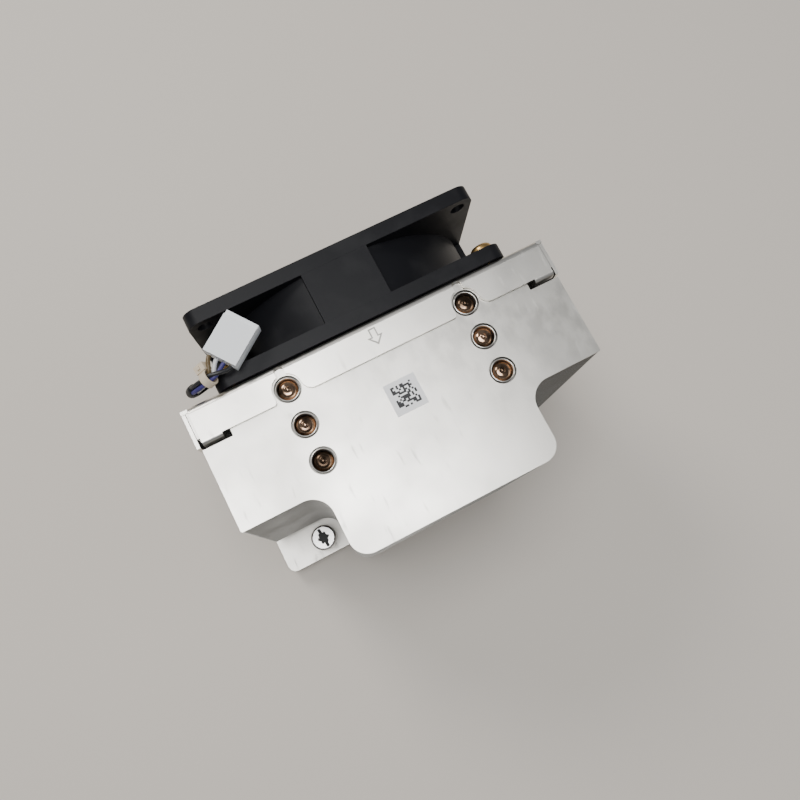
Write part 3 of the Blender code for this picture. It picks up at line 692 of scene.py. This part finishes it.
def wire_lines(route):
    """Each wire's middle line: a slow twist round the route that opens out flat towards the pins.

    The share of opening is three times the square less twice the cube of the share of the last stretch.
    """
    lay, twist, opening, pin_share = 0.98, 2.4, 0.14, 0.9
    _, side, up = path_axes(route, LEAD_HINT)
    part = np.linspace(0, 1, len(route))
    ease = np.clip((part - 1 + opening) / opening, 0, 1)
    spread = (ease**2 * (3 - 2 * ease))[:, None]
    lines = []
    for i, offset in enumerate(PIN_OFFSETS):
        angle = (math.pi / 4 + i * math.pi / 2 + twist * part)[:, None]
        twisted = lay * (np.cos(angle) * side + np.sin(angle) * up)
        lines.append(route + twisted * (1 - spread) + offset * CONNECTOR_ACROSS * spread * pin_share)
    return lines


def tie_shells(route):
    """The tie: a band round the route, a head on the side of the solid's head and a tail through it."""
    inner, outer, half = 2.05, 2.55, 1.2
    head_low, head_high = (2.2, -1.6, -1.7), (4.6, 1.6, 1.7)
    tail_low, tail_high = (2.9, -2.2, -0.5), (3.9, 2.2, 0.5)
    spot = int(round(TIE_SHARE * (len(route) - 1)))
    along = path_axes(route, LEAD_HINT)[0][spot]
    lean = np.mean(corners("cable_tie"), axis=0) - route[spot]
    lean -= along * (lean @ along)
    lean /= np.linalg.norm(lean)
    facing = Matrix((lean, np.cross(along, lean), along)).transposed().to_4x4()
    to_place = Matrix.Translation(Vector(route[spot])) @ facing
    band = lathe([(inner, -half), (outer, -half), (outer, half), (inner, half)], sides=32, loop=True)
    shells = [band, block(head_low, head_high), block(tail_low, tail_high)]
    return [moved(shell, to_place) for shell in shells]


class OBJECT_OT_heatsink_lead(bpy.types.Operator):
    """Makes the fan's four wires, their sleeve, tie and connector"""

    bl_idname = "object.heatsink_lead"
    bl_label = "Lead"

    def execute(self, context):
        route = lead_route()
        housing = piece(
            "connector_body",
            connector_shells(),
            look("nylon_white"),
            nodes=["connector_housing"],
            edge=0.22,
        )
        lines = wire_lines(route)
        wires = []
        for name, line in zip(WIRE_NAMES, lines):
            shell = sweep(line, size_of("wire") / 2, sides=12, side_hint=LEAD_HINT)
            wires.append(piece("wire_" + name, [shell], look("wire_" + name)))
        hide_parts("fan_lead")
        covered = route[1 : int(SLEEVE_SHARE * len(route))]
        shell = sweep(covered, LEAD_DIAMETER / 2, sides=20, side_hint=LEAD_HINT)
        sleeve = piece("lead_sleeve", [shell], look("sleeve_black"))
        tie = piece(
            "tie_band",
            tie_shells(route),
            look("nylon_ivory"),
            nodes=["cable_tie"],
            edge=0.15,
        )
        for i, (wire, line) in enumerate(zip(wires, lines)):
            tuple(line[0] * MM)
            size_of("wire") * MM
            "connector" if i == 0 else "object"
            (line * MM).tolist()
            [housing, tie, sleeve] if i == 0 else []
        return {"FINISHED"}


# Fins

CAD_FINS = 20
SLOTTED_FINS = 8
TAIL_HALF = 31.9
WING_DEEP = 37.6


def fin_outline(inset=0.0, slots=False):
    """The fin's T shape from above, with rounded notches and tail corners, and slots for the bracket's hooks.

    The right half is a list of corners, and the left half is the same list mirrored and reversed.
    """
    tail_corner, notch_corner, wing_corner, slot_corner, sharp = 5.5, 6.5, 0.6, 0.3, 0.0
    wide, tail = FIN_WIDE - inset, TAIL_HALF - inset
    rear, wing, front = TOP_FIN[0][1] + inset, FRONT_Y - WING_DEEP + inset, TOP_FIN[1][1]
    right = [(tail, rear), (tail, wing), (wide, wing)]
    radii = [tail_corner, notch_corner, wing_corner]
    if slots:
        slot_end, slot_rear, slot_front = 47.2, HOOK_Y - 2.1, HOOK_Y + 1.3
        right += [(wide, slot_rear), (slot_end, slot_rear), (slot_end, slot_front), (wide, slot_front)]
        radii += [sharp, slot_corner, slot_corner, sharp]
    right += [(wide, front)]
    radii += [sharp]
    left = mirrored(np.array(right[::-1]))
    return rounded([*right, *left], radii + radii[::-1], steps=12)


def pipe_spots():
    """The places of the six pipe ends from above."""
    return [(sx * PIPE_X, y) for sx in (-1, 1) for y in PIPE_YS]


def pipe_holes(radius, sides):
    """A circle round each pipe end."""
    return [ring(radius, sides, spot) for spot in pipe_spots()]


class OBJECT_OT_heatsink_fins(bpy.types.Operator):
    """Makes the top fin, the fins below it and the collars round the pipes"""

    bl_idname = "object.heatsink_fins"
    bl_label = "Fins"

    def execute(self, context):
        under, top_hole = TOP_Z - TOP_SHEET, 3.95
        top = plate([fin_outline(slots=True), *pipe_holes(top_hole, sides=48)], under, TOP_Z)
        piece("top_plate", [top], look("plate_nickel"), nodes=["top_fin"], edge=0.20)

        sheet, stack_inset, stack_hole = size_of("fin_sheet"), 0.05, 3.3
        count = int(round((under - FIN_LOW) / size_of("fin_pitch")))
        holes = pipe_holes(stack_hole, sides=16)
        whole, slotted = (
            plate([fin_outline(stack_inset, slots), *holes], 0.0, sheet) for slots in (False, True)
        )
        stack = []
        for i in range(count):
            points, faces = slotted if i >= count - SLOTTED_FINS else whole
            level = FIN_LOW + (under - FIN_LOW) * i / count
            stack.append((points + np.array([0.0, 0.0, level]), faces))
        names = ["fin_%02d" % (i + 1) for i in range(CAD_FINS)]
        # The stack takes the darkened nickel, a painted shade between the fins
        piece("fin_stack", stack, look("fin_edges"), nodes=names)

        inner, outer, foot = 3.10, 3.46, -2.4
        lip = [(inner, -0.15), (3.17, 0.02), (3.28, 0.06), (3.40, 0.02), (outer, -0.15)]
        profile = np.array([(inner, foot), *lip, (outer, foot)]) + np.array([0.0, TOP_Z])
        collars = [lathe(profile, sides=48, centre=spot, loop=True) for spot in pipe_spots()]
        # The collars' lips take the brighter nickel, a painted highlight ring round each pipe
        piece("pipe_collars", collars, look("flange_nickel"))
        return {"FINISHED"}


# Heat pipes


def pipe_half():
    """The right half of a pipe, from its tip to the end of its bend: x, z and the radius at each point.

    The radius follows a nipple and then a quarter of an ellipse. The path runs straight to a quarter circle.
    """
    bend, straight = 13.0, 2.0
    nipple_drop, nipple_scale = [0.0, 0.15, 0.40, 0.50], [0.10, 0.20, 0.24, 0.30]
    dome_start, dome_tall, dome_neck, dome_foot = 0.56, 1.9, 0.36, 6.0
    rise = np.linspace(0, np.pi / 2, 9)
    drop = np.concatenate([nipple_drop, dome_start + dome_tall * (1 - np.cos(rise)), [dome_foot]])
    scale = np.concatenate([nipple_scale, dome_neck + (1 - dome_neck) * np.sin(rise), [1.0]])
    turn = np.linspace(0, np.pi / 2, 14)
    above = PIPE_Z + bend
    xs = np.concatenate([np.full(len(drop) + 1, PIPE_X), PIPE_X - bend + bend * np.cos(turn)])
    zs = np.concatenate([PIPE_TIP - drop, [above + straight], above - bend * np.sin(turn)])
    radii = np.concatenate([scale, np.ones(len(turn) + 1)]) * PIPE_RADIUS
    return xs, zs, radii


class OBJECT_OT_heatsink_pipes(bpy.types.Operator):
    """Makes the three U-shaped heat pipes with their crimped domes, each a half that is mirrored"""

    bl_idname = "object.heatsink_pipes"
    bl_label = "Heat pipes"

    def execute(self, context):
        xs, zs, radii = pipe_half()
        for name, y in zip(PIPE_NAMES, PIPE_YS):
            half = np.stack([xs, np.full(len(xs), y), zs], axis=1)
            path = np.concatenate([half, half[::-1] * np.array([-1.0, 1.0, 1.0])])
            shell = sweep(path, np.concatenate([radii, radii[::-1]]), sides=32, side_hint=(0, 1, 0))
            nodes = ["heat_pipe_" + name]
            piece("pipe_" + name, [shell], look("copper_bare"), nodes=nodes, crease=50)
        return {"FINISHED"}


# Fan bracket

BRACKET_SHEET = 1.0
BRACKET_BEND = 2.0
BRACKET_TOP = BRACKET[1][2]
FLANGE_WIDE = FIN_WIDE - 0.9
KEYHOLE_NECK = 1.45


def flange_parts(front):
    """The bracket's top flange from above, cut in three by the keyhole round each front pipe.

    A keyhole is a slot up to the bend, an arc round the pipe and straight sides down to the rear edge. Its
    left side ends in a tight corner and its right side in a wide one.
    """
    neck, reach, y = KEYHOLE_NECK, 4.35, PIPE_YS[0]
    tight, broad = 0.9, 3.2
    lean = math.degrees(math.asin(neck / reach))
    before, after = [], []
    for x in (-PIPE_X, PIPE_X):
        corner = arc(tight, (x - reach - tight, HOOK_Y + tight), -90, 0, 6)
        before.append(np.concatenate([corner, arc(reach, (x, y), 180, 90 + lean, 16), [(x - neck, front)]]))
        corner = arc(broad, (x + reach + broad, HOOK_Y + broad), 180, 270, 12)
        after.append(np.concatenate([[(x + neck, front)], arc(reach, (x, y), 90 - lean, 0, 16), corner]))
    left = np.concatenate([[(-FLANGE_WIDE, HOOK_Y)], before[0], [(-FLANGE_WIDE, front)]])
    middle = np.concatenate([after[0], before[1]])
    right = np.concatenate([after[1], [(FLANGE_WIDE, HOOK_Y), (FLANGE_WIDE, front)]])
    return [left, middle, right]


def bend_strip():
    """The bracket's bend: a quarter turn of sheet, cut back by a half circle over each keyhole.

    Along the bend the angle runs from the cut to a right angle. The outer skin is at the bend's radius and
    the inner skin one sheet closer to the bend's middle line.
    """
    turn = np.linspace(np.pi, 0, 17)
    notch = KEYHOLE_NECK * np.stack([np.cos(turn), np.sin(turn)], axis=1)
    left, right = notch - np.array([PIPE_X, 0.0]), notch + np.array([PIPE_X, 0.0])
    edge = np.concatenate([[(-FLANGE_WIDE, 0.0)], left, right, [(FLANGE_WIDE, 0.0)]])
    cut = edge[:, 1] / BRACKET_BEND
    angle = cut + (np.pi / 2 - cut) * np.linspace(0, 1, 10)[:, None]
    xs = np.broadcast_to(edge[:, 0], angle.shape)
    middle_y, middle_z = FRONT_Y - BRACKET_BEND, BRACKET_TOP - BRACKET_BEND
    skins = [
        np.stack([xs, middle_y + radius * np.sin(angle), middle_z + radius * np.cos(angle)], axis=-1)
        for radius in (BRACKET_BEND, BRACKET_BEND - BRACKET_SHEET)
    ]
    return closed_sheet(*skins)


def hook_outline():
    """A hook from the side: two arcs round the flange's rear edge, a sheet apart, and straight ends below."""
    outer, inner, drop = 1.2, 0.2, 3.4
    middle = (HOOK_Y, BRACKET_TOP - outer)
    curl = arc(outer, middle, 90, 180, 9)
    back = arc(inner, middle, 180, 90, 5)
    ends = [(HOOK_Y - outer, BRACKET_TOP - drop), (HOOK_Y - inner, BRACKET_TOP - drop)]
    return np.concatenate([curl, ends, back])


def front_sheet():
    """The bracket's front face with its shoulders, the round opening for the fan and four screw holes."""
    low, wide = BRACKET[0][2], BRACKET[1][0]
    opening = 43.5
    shoulder, neck = TOP_Z - 0.6, BRACKET_TOP - BRACKET_BEND
    right = [(wide, low), (wide, shoulder), (FLANGE_WIDE, shoulder), (FLANGE_WIDE, neck)]
    left = mirrored(np.array(right))
    outline = np.concatenate([left[:1], right, left[:0:-1]])
    holes = [ring(FAN_HOLE_RADIUS, sides=24, centre=spot) for spot in FAN_HOLES]
    holes.insert(0, ring(opening, sides=96, centre=FAN_MIDDLE))
    return plate([outline, *holes], FRONT_Y - BRACKET_SHEET, FRONT_Y, "Y")


def arrow_shell():
    """The airflow arrow: its outline and a smaller one inside it as a hole, each a half that is mirrored."""
    shift, sunk, proud = np.array([0.3, 0.0]), 0.05, 0.10
    tip, neck, tail, head, shaft = FRONT_Y - 7.7, FRONT_Y - 5.0, FRONT_Y - 2.5, 2.4, 1.1
    tip_wall, neck_wall, tail_wall, head_wall, shaft_wall = 0.75, 0.35, 0.40, 0.9, 0.4
    outer = np.array([(0, tip), (head, neck), (shaft, neck), (shaft, tail)])
    inward = [(0, tip_wall), (-head_wall, -neck_wall), (-shaft_wall, -neck_wall), (-shaft_wall, -tail_wall)]
    inner = outer + np.array(inward)
    loops = [np.concatenate([half, mirrored(half[:0:-1])]) + shift for half in (outer, inner)]
    return plate(loops, BRACKET_TOP - sunk, BRACKET_TOP + proud)


class OBJECT_OT_heatsink_bracket(bpy.types.Operator):
    """Makes the fan bracket with its bent flange, hooks, walls and pressed arrow"""

    bl_idname = "object.heatsink_bracket"
    bl_label = "Fan bracket"

    def execute(self, context):
        wall_deep, wall_lap, wall_inset, wall_drop = 11.5, 0.5, 0.02, 1.0
        hook_start = 49.4
        wide = BRACKET[1][0]
        flange = flange_parts(FRONT_Y - BRACKET_BEND)
        shells = [plate([part], BRACKET_TOP - BRACKET_SHEET, BRACKET_TOP) for part in flange]
        shells += [bend_strip(), front_sheet()]
        for sx in (-1, 1):
            a, b = sorted((sx * (wide - BRACKET_SHEET), sx * (wide - wall_inset)))
            wall_high = (b, FRONT_Y - wall_lap, TOP_Z - wall_drop)
            shells.append(block((a, FRONT_Y - wall_deep, FIN_LOW), wall_high))
            a, b = sorted((sx * hook_start, sx * FLANGE_WIDE))
            shells.append(plate([hook_outline()], a, b, "X"))
        # The bracket takes the brighter nickel, painted light on the flange
        piece("bracket_sheet", shells, look("flange_nickel"), nodes=["fan_bracket"])
        # The arrow's outline is darker nickel, a painted shade of the pressed relief
        piece("airflow_arrow", [arrow_shell()], look("pressed_nickel"))
        return {"FINISHED"}


# Fan frame


def frame_shells():
    """The frame: two square flanges with round openings, the barrel between them and a pad on each side."""
    half, flange, lap = (FAN_TOP - FAN[0][2]) / 2, 4.5, 0.6
    corner, opening, barrel_in = 4.0, 43.3, 43.35
    square = rounded([(-half, -half), (half, -half), (half, half), (-half, half)], [corner] * 4) + FAN_MIDDLE
    holes = [ring(FAN_HOLE_RADIUS, sides=28, centre=spot) for spot in FAN_HOLES]
    holes.insert(0, ring(opening, sides=120, centre=FAN_MIDDLE))
    shells = [plate([square, *holes], low, low + flange, "Y") for low in (FAN_Y, FAN_END - flange)]
    low, high = FAN_Y + flange - lap, FAN_END - flange + lap
    barrel = [(barrel_in, low), (BARREL_OUT, low), (BARREL_OUT, high), (barrel_in, high)]
    shells.append(lathe(barrel, sides=120, axis="Y", centre=FAN_MIDDLE, loop=True))
    pad, sunk, flush = 10.5, 43.6, half - 0.03
    for out in np.array([(1, 0), (-1, 0), (0, 1), (0, -1)]):
        across = pad * np.abs(out[::-1])
        ends = np.sort([FAN_MIDDLE + out * sunk - across, FAN_MIDDLE + out * flush + across], axis=0)
        shells.append(block((ends[0][0], low, ends[0][1]), (ends[1][0], high, ends[1][1])))
    return shells


def motor_cup_shells():
    """The motor's cup: four arms that narrow outwards, a shallow dish and the post for the bearings."""
    arms, first_arm = 4, 38
    arm = np.array([(15.2, -1.7), (43.9, -1.5), (43.9, 1.5), (15.2, 1.7)])
    arm_low, arm_high = FAN_Y + 0.4, FAN_Y + 3.4
    shells = []
    for turn in range(arms):
        angle = math.radians(first_arm + 360 / arms * turn)
        along = np.array([math.cos(angle), math.sin(angle)])
        across = np.array([-along[1], along[0]])
        outline = arm[:, :1] * along + arm[:, 1:] * across + FAN_MIDDLE
        shells.append(plate([outline], arm_low, arm_high, "Y"))
    dish, chamfer, dish_deep = 18.5, 0.2, 2.0
    profile = [(dish - chamfer, FAN_Y), (dish, FAN_Y + chamfer), (dish, FAN_Y + dish_deep)]
    shells.append(lathe(profile, sides=64, axis="Y", centre=FAN_MIDDLE))
    inner, outer, low, high = 3.7, 4.9, FAN_Y + 1.2, FAN_Y + 17.0
    post = [(inner, low), (outer, low), (outer, high), (inner, high)]
    shells.append(lathe(post, sides=32, axis="Y", centre=FAN_MIDDLE, loop=True))
    return shells


class OBJECT_OT_heatsink_fan_frame(bpy.types.Operator):
    """Makes the moulded fan frame with its flanges, barrel, pads, arms and motor cup"""

    bl_idname = "object.heatsink_fan_frame"
    bl_label = "Fan frame"

    def execute(self, context):
        piece(
            "frame_shell",
            frame_shells(),
            look("fan_plastic"),
            nodes=["fan_frame"],
            edge=size_of("edge"),
            segments=3,
        )
        piece("motor_cup", motor_cup_shells(), look("fan_plastic"), edge=0.2)
        return {"FINISHED"}


# Rotor

BLADES = 7


def hub_shell():
    """The hub: a cup with a rounded rim and a boss for the shaft, carried round the fan's axis."""
    end, low = FAN_Y + 23.4, FAN_Y + 5.0
    outer, wall, rim, skin = 18.0, 16.6, 1.2, 1.4
    boss_out, boss_in, boss_deep, pole = 3.6, 1.9, 3.0, 0.02
    inside = end - skin
    shoulder = arc(rim, (outer - rim, end - rim), 90, 0, 6)
    profile = [(pole, end), *shoulder, (outer, low), (wall, low), (wall, inside), (boss_out, inside)]
    boss_end = inside - boss_deep
    profile += [(boss_out, boss_end), (boss_in, boss_end), (boss_in, inside), (pole, inside)]
    return lathe(profile, sides=64, axis="Y", centre=FAN_MIDDLE)


def blade_shell(spin):
    """One blade, a grid over the share of the way out and the share along the chord.

    The chord grows and its pitch flattens on the way out. Each point goes round the axis by the chord's part
    across the axis plus a bow, over the radius, less a sweep that grows as the square of the way out. It
    rises by the chord's part along the axis. The two skins stand off along the normal, and their distance
    falls to the edges by the cube of the share along the chord.
    """
    root, tip, middle_y = 17.3, 42.3, FAN_Y + 13.6
    root_pitch, tip_pitch, root_chord, tip_chord = 52, 32, 20.0, 27.0
    bow, lag, middle_half, edge_half = 2.0, 0.28, 0.60, 0.25
    part, along = np.meshgrid(np.linspace(0, 1, 12), np.linspace(-0.5, 0.5, 14), indexing="ij")
    radius = root + (tip - root) * part
    pitch = np.radians(root_pitch + (tip_pitch - root_pitch) * part)
    chord = root_chord + (tip_chord - root_chord) * part
    angle = (along * chord * np.cos(pitch) + bow * (0.25 - along**2)) / radius - lag * part**2 + spin
    height = middle_y + along * chord * np.sin(pitch)
    thick = (middle_half + (edge_half - middle_half) * (2 * np.abs(along)) ** 3)[..., None]
    sheet = np.stack([radius * np.cos(angle), height, radius * np.sin(angle) + FAN_Z], axis=-1)
    normal = np.cross(np.gradient(sheet, axis=0), np.gradient(sheet, axis=1))
    normal /= np.linalg.norm(normal, axis=-1, keepdims=True)
    return closed_sheet(sheet + normal * thick, sheet - normal * thick)


class OBJECT_OT_heatsink_rotor(bpy.types.Operator):
    """Makes the impeller that spins in the frame"""

    bl_idname = "object.heatsink_rotor"
    bl_label = "Rotor"

    def execute(self, context):
        blades = [blade_shell(2 * math.pi * i / BLADES) for i in range(BLADES)]
        shells = [hub_shell(), *blades]
        piece("impeller", shells, look("fan_plastic"), "rotor", ["fan_impeller"], crease=45)
        return {"FINISHED"}


# Captive screws, with heights measured from the top of the head or from the part's own zero

HEAD_RADIUS = 4.6
HEAD_ROUND = 0.8
HEAD_TALL = 3.0
RECESS_DEEP = 1.8
SLOT_ANGLE = math.radians(96.5)


def star_outline(shrink=0.0):
    """A star recess with a slot across it, seen along the screw.

    At each angle the outline is as far out as the further of a six-lobed wave and the slot's straight sides,
    and the slot stops at its own length.
    """
    lobes, star_radius, wave, slot_half, slot_reach, least = 6, 2.0, 0.30, 0.60, 3.72, 0.01
    angle = np.linspace(0, 2 * np.pi, 240, endpoint=False)
    star = star_radius + wave * np.cos(lobes * angle) - shrink
    side = (slot_half - shrink) / np.maximum(np.abs(np.sin(angle - SLOT_ANGLE)), least)
    reach = np.maximum(star, np.minimum(slot_reach - shrink, side))
    return reach[:, None] * np.stack([np.cos(angle), np.sin(angle)], axis=1)


def screw_shells(spot, top, low):
    """A captive screw: the face with its recess, the rounded rim round that, and the threaded shank."""
    flat, lap, chamfer = HEAD_RADIUS - HEAD_ROUND, 0.1, 0.1
    under = top - HEAD_TALL
    face = plate([ring(flat + lap, sides=56, centre=spot), star_outline() + spot], top - RECESS_DEEP, top)

    rim = arc(HEAD_ROUND, (flat, top - HEAD_ROUND), 90, 0, 6)
    inner, step = 3.0, top - RECESS_DEEP - lap
    collar = [*rim, (HEAD_RADIUS, under + chamfer), (HEAD_RADIUS - chamfer, under)]
    collar += [(inner, under), (inner, step), (flat, step)]

    plug, shank, neck, crest, root, point = 3.85, 2.5, 1.6, 2.1, 1.8, 1.4
    shank_end, neck_end, thread_start, thread_end, rings = 4.2, 2.8, 2.7, low + 0.6, 9
    seat = under + chamfer
    profile = [(plug, top - RECESS_DEEP), (plug, seat), (shank, seat), (shank, shank_end)]
    profile += [(neck, shank_end), (neck, neck_end), (crest, neck_end)]
    thread = np.stack([np.resize([crest, root], rings), np.linspace(thread_start, thread_end, rings)], axis=1)
    profile += [*thread, (point, low)]
    rim_shell = lathe(collar, sides=56, centre=spot, loop=True)
    return [face, rim_shell, lathe(profile, sides=40, centre=spot)]


def spring_shell(spot, foot, head):
    """A spring between two heights: a helix that rises only between its two closed ends."""
    turns, coil, wire, gap, closed = 4.0, 3.7, 0.45, 0.3, 0.10
    low, high = foot + wire + gap, head - wire - gap
    part = np.linspace(0, 1, 161)
    angle = 2 * math.pi * turns * part
    rise = np.clip((part - closed) / (1 - 2 * closed), 0, 1)
    x, y = spot
    path = np.stack([x + coil * np.cos(angle), y + coil * np.sin(angle), low + (high - low) * rise], axis=1)
    return sweep(path, wire, sides=10, side_hint=(0, 0, 1))


class OBJECT_OT_heatsink_captive_screws(bpy.types.Operator):
    """Makes the captive screws with their recesses and springs"""

    bl_idname = "object.heatsink_captive_screws"
    bl_label = "Captive screws"

    def execute(self, context):
        floor_inset, floor_low, floor_high = 0.05, 1.85, 1.6
        lowest, highest = corners("captive_screw_1")
        top, low = highest[2], lowest[2]
        for i, spot in enumerate(SCREW_SPOTS, 1):
            body = "screw_%d" % i
            # A near-black sheet at the bottom of the recess: painted shade in the hollow of the head
            floor = plate([star_outline(floor_inset) + spot], top - floor_low, top - floor_high)
            piece("recess_%d" % i, [floor], look("recess_dark"), body)
            shells = screw_shells(spot, top, low)
            piece("screw_%d" % i, shells, look("screw_steel"), body, ["captive_screw_%d" % i])
            shell = spring_shell(spot, BASE_TOP, top - HEAD_TALL)
            spring = piece(
                "spring_%d" % i,
                [shell],
                look("dark_steel"),
                nodes=["screw_spring_%d" % i],
            )
            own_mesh(spring)
        return {"FINISHED"}


# Fan screws


class OBJECT_OT_heatsink_fan_screws(bpy.types.Operator):
    """Makes the four fan screws, each a shank with a hollowed dome carried round its axis"""

    bl_idname = "object.heatsink_fan_screws"
    bl_label = "Fan screws"

    def execute(self, context):
        seat, end, shank = FAN_Y + 4.7, FRONT_Y - 0.9, 1.9
        dome = np.array([(3.4, 0.0), (3.4, 0.9), (3.1, 1.5), (2.5, 1.95), (1.7, 2.2), (1.6, 1.2)])
        profile = [(shank, end), (shank, seat), *(dome + np.array([0.0, seat]))]
        shells = [lathe(profile, sides=36, axis="Y", centre=spot) for spot in FAN_HOLES]
        names = ["fan_screw_%d" % (i + 1) for i in range(len(FAN_HOLES))]
        piece("fan_screws", shells, look("fan_brass"), nodes=names, edge=0.1)
        return {"FINISHED"}


# Sticker


class OBJECT_OT_heatsink_sticker(bpy.types.Operator):
    """Makes the small square sticker, with a grid on it whose cells are inked at random"""

    bl_idname = "object.heatsink_sticker"
    bl_label = "Sticker"

    def execute(self, context):
        paper_low, paper_high, ink_low, ink_high = (TOP_Z + lift for lift in (0.02, 0.14, 0.12, 0.16))
        cells, inked, grid, margin, seed = 12, 0.54, 6.8, 1.5, 7
        low, high = corners("sticker")
        paper = block((*low[:2], paper_low), (*high[:2], paper_high))
        piece("sticker_paper", [paper], look("paper_white"), nodes=["sticker"])
        rows, columns = np.nonzero(np.random.default_rng(seed).random((cells, cells)) < inked)
        cell = grid / cells
        spots = low[:2] + margin + np.stack([columns, rows], axis=1) * cell
        shells = [block((*spot, ink_low), (*(spot + cell), ink_high)) for spot in spots]
        piece("sticker_pattern", shells, look("paper_ink"))
        return {"FINISHED"}


# Solids that stay

FINISHES = {
    # The base plate and pipe saddle take the darker nickel, a painted shade
    "base_plate": "base_nickel",
    "contact_plate": "copper_bare",
    "pipe_saddle": "base_nickel",
    "rotor_yoke": "dark_steel",
    "magnet_ring": "magnet_grey",
    "fan_shaft": "screw_steel",
    "stator_core": "dark_steel",
    "winding_front": "winding_copper",
    "winding_rear": "winding_copper",
    "motor_board": "board_green",
    "bearing_front": "screw_steel",
    "bearing_rear": "screw_steel",
    "lead_grommet": "sleeve_black",
    **{"screw_clip_%d" % (i + 1): "dark_steel" for i in range(len(SCREW_SPOTS))},
}


class OBJECT_OT_heatsink_finishes(bpy.types.Operator):
    """Gives the solids that stay in view their materials"""

    bl_idname = "object.heatsink_finishes"
    bl_label = "Solids that stay"

    def execute(self, context):
        for name, material in FINISHES.items():
            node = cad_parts[name]
            if not node.material_slots:
                raise RuntimeError(name + " has no material slot")
            for holder in node.material_slots:
                holder.link = "OBJECT"
                holder.material = look(material)
        return {"FINISHED"}


# Panel and registration

STEPS = [
    OBJECT_OT_heatsink_materials,
    OBJECT_OT_heatsink_stage,
    OBJECT_OT_heatsink_lead,
    OBJECT_OT_heatsink_fins,
    OBJECT_OT_heatsink_pipes,
    OBJECT_OT_heatsink_bracket,
    OBJECT_OT_heatsink_fan_frame,
    OBJECT_OT_heatsink_rotor,
    OBJECT_OT_heatsink_captive_screws,
    OBJECT_OT_heatsink_fan_screws,
    OBJECT_OT_heatsink_sticker,
    OBJECT_OT_heatsink_finishes,
]


class VIEW3D_PT_heatsink(bpy.types.Panel):
    """Lists the values that a user would change and the steps"""

    bl_idname = "VIEW3D_PT_heatsink"
    bl_label = "Heatsink"
    bl_space_type = "VIEW_3D"
    bl_region_type = "UI"
    bl_category = "Heatsink"

    def draw(self, context):
        for group in (context.scene.heatsink_sizes, context.scene.heatsink_colours):
            for name in group.__annotations__:
                self.layout.prop(group, name)
        for step in STEPS:
            self.layout.operator(step.bl_idname)


CLASSES = [HeatsinkSizes, HeatsinkColours, *STEPS, VIEW3D_PT_heatsink]


def register():
    """Registers the classes and gives the scene its two groups of values."""
    for kind in CLASSES:
        bpy.utils.register_class(kind)
    bpy.types.Scene.heatsink_sizes = bpy.props.PointerProperty(type=HeatsinkSizes)
    bpy.types.Scene.heatsink_colours = bpy.props.PointerProperty(type=HeatsinkColours)


def unregister():
    """Takes back what register did."""
    del bpy.types.Scene.heatsink_colours
    del bpy.types.Scene.heatsink_sizes
    for kind in reversed(CLASSES):
        bpy.utils.unregister_class(kind)


def main():
    """Runs every step in order."""
    register()
    for step in STEPS:
        group, name = step.bl_idname.split(".")
        getattr(getattr(bpy.ops, group), name)()


if __name__ == "__main__":
    main()
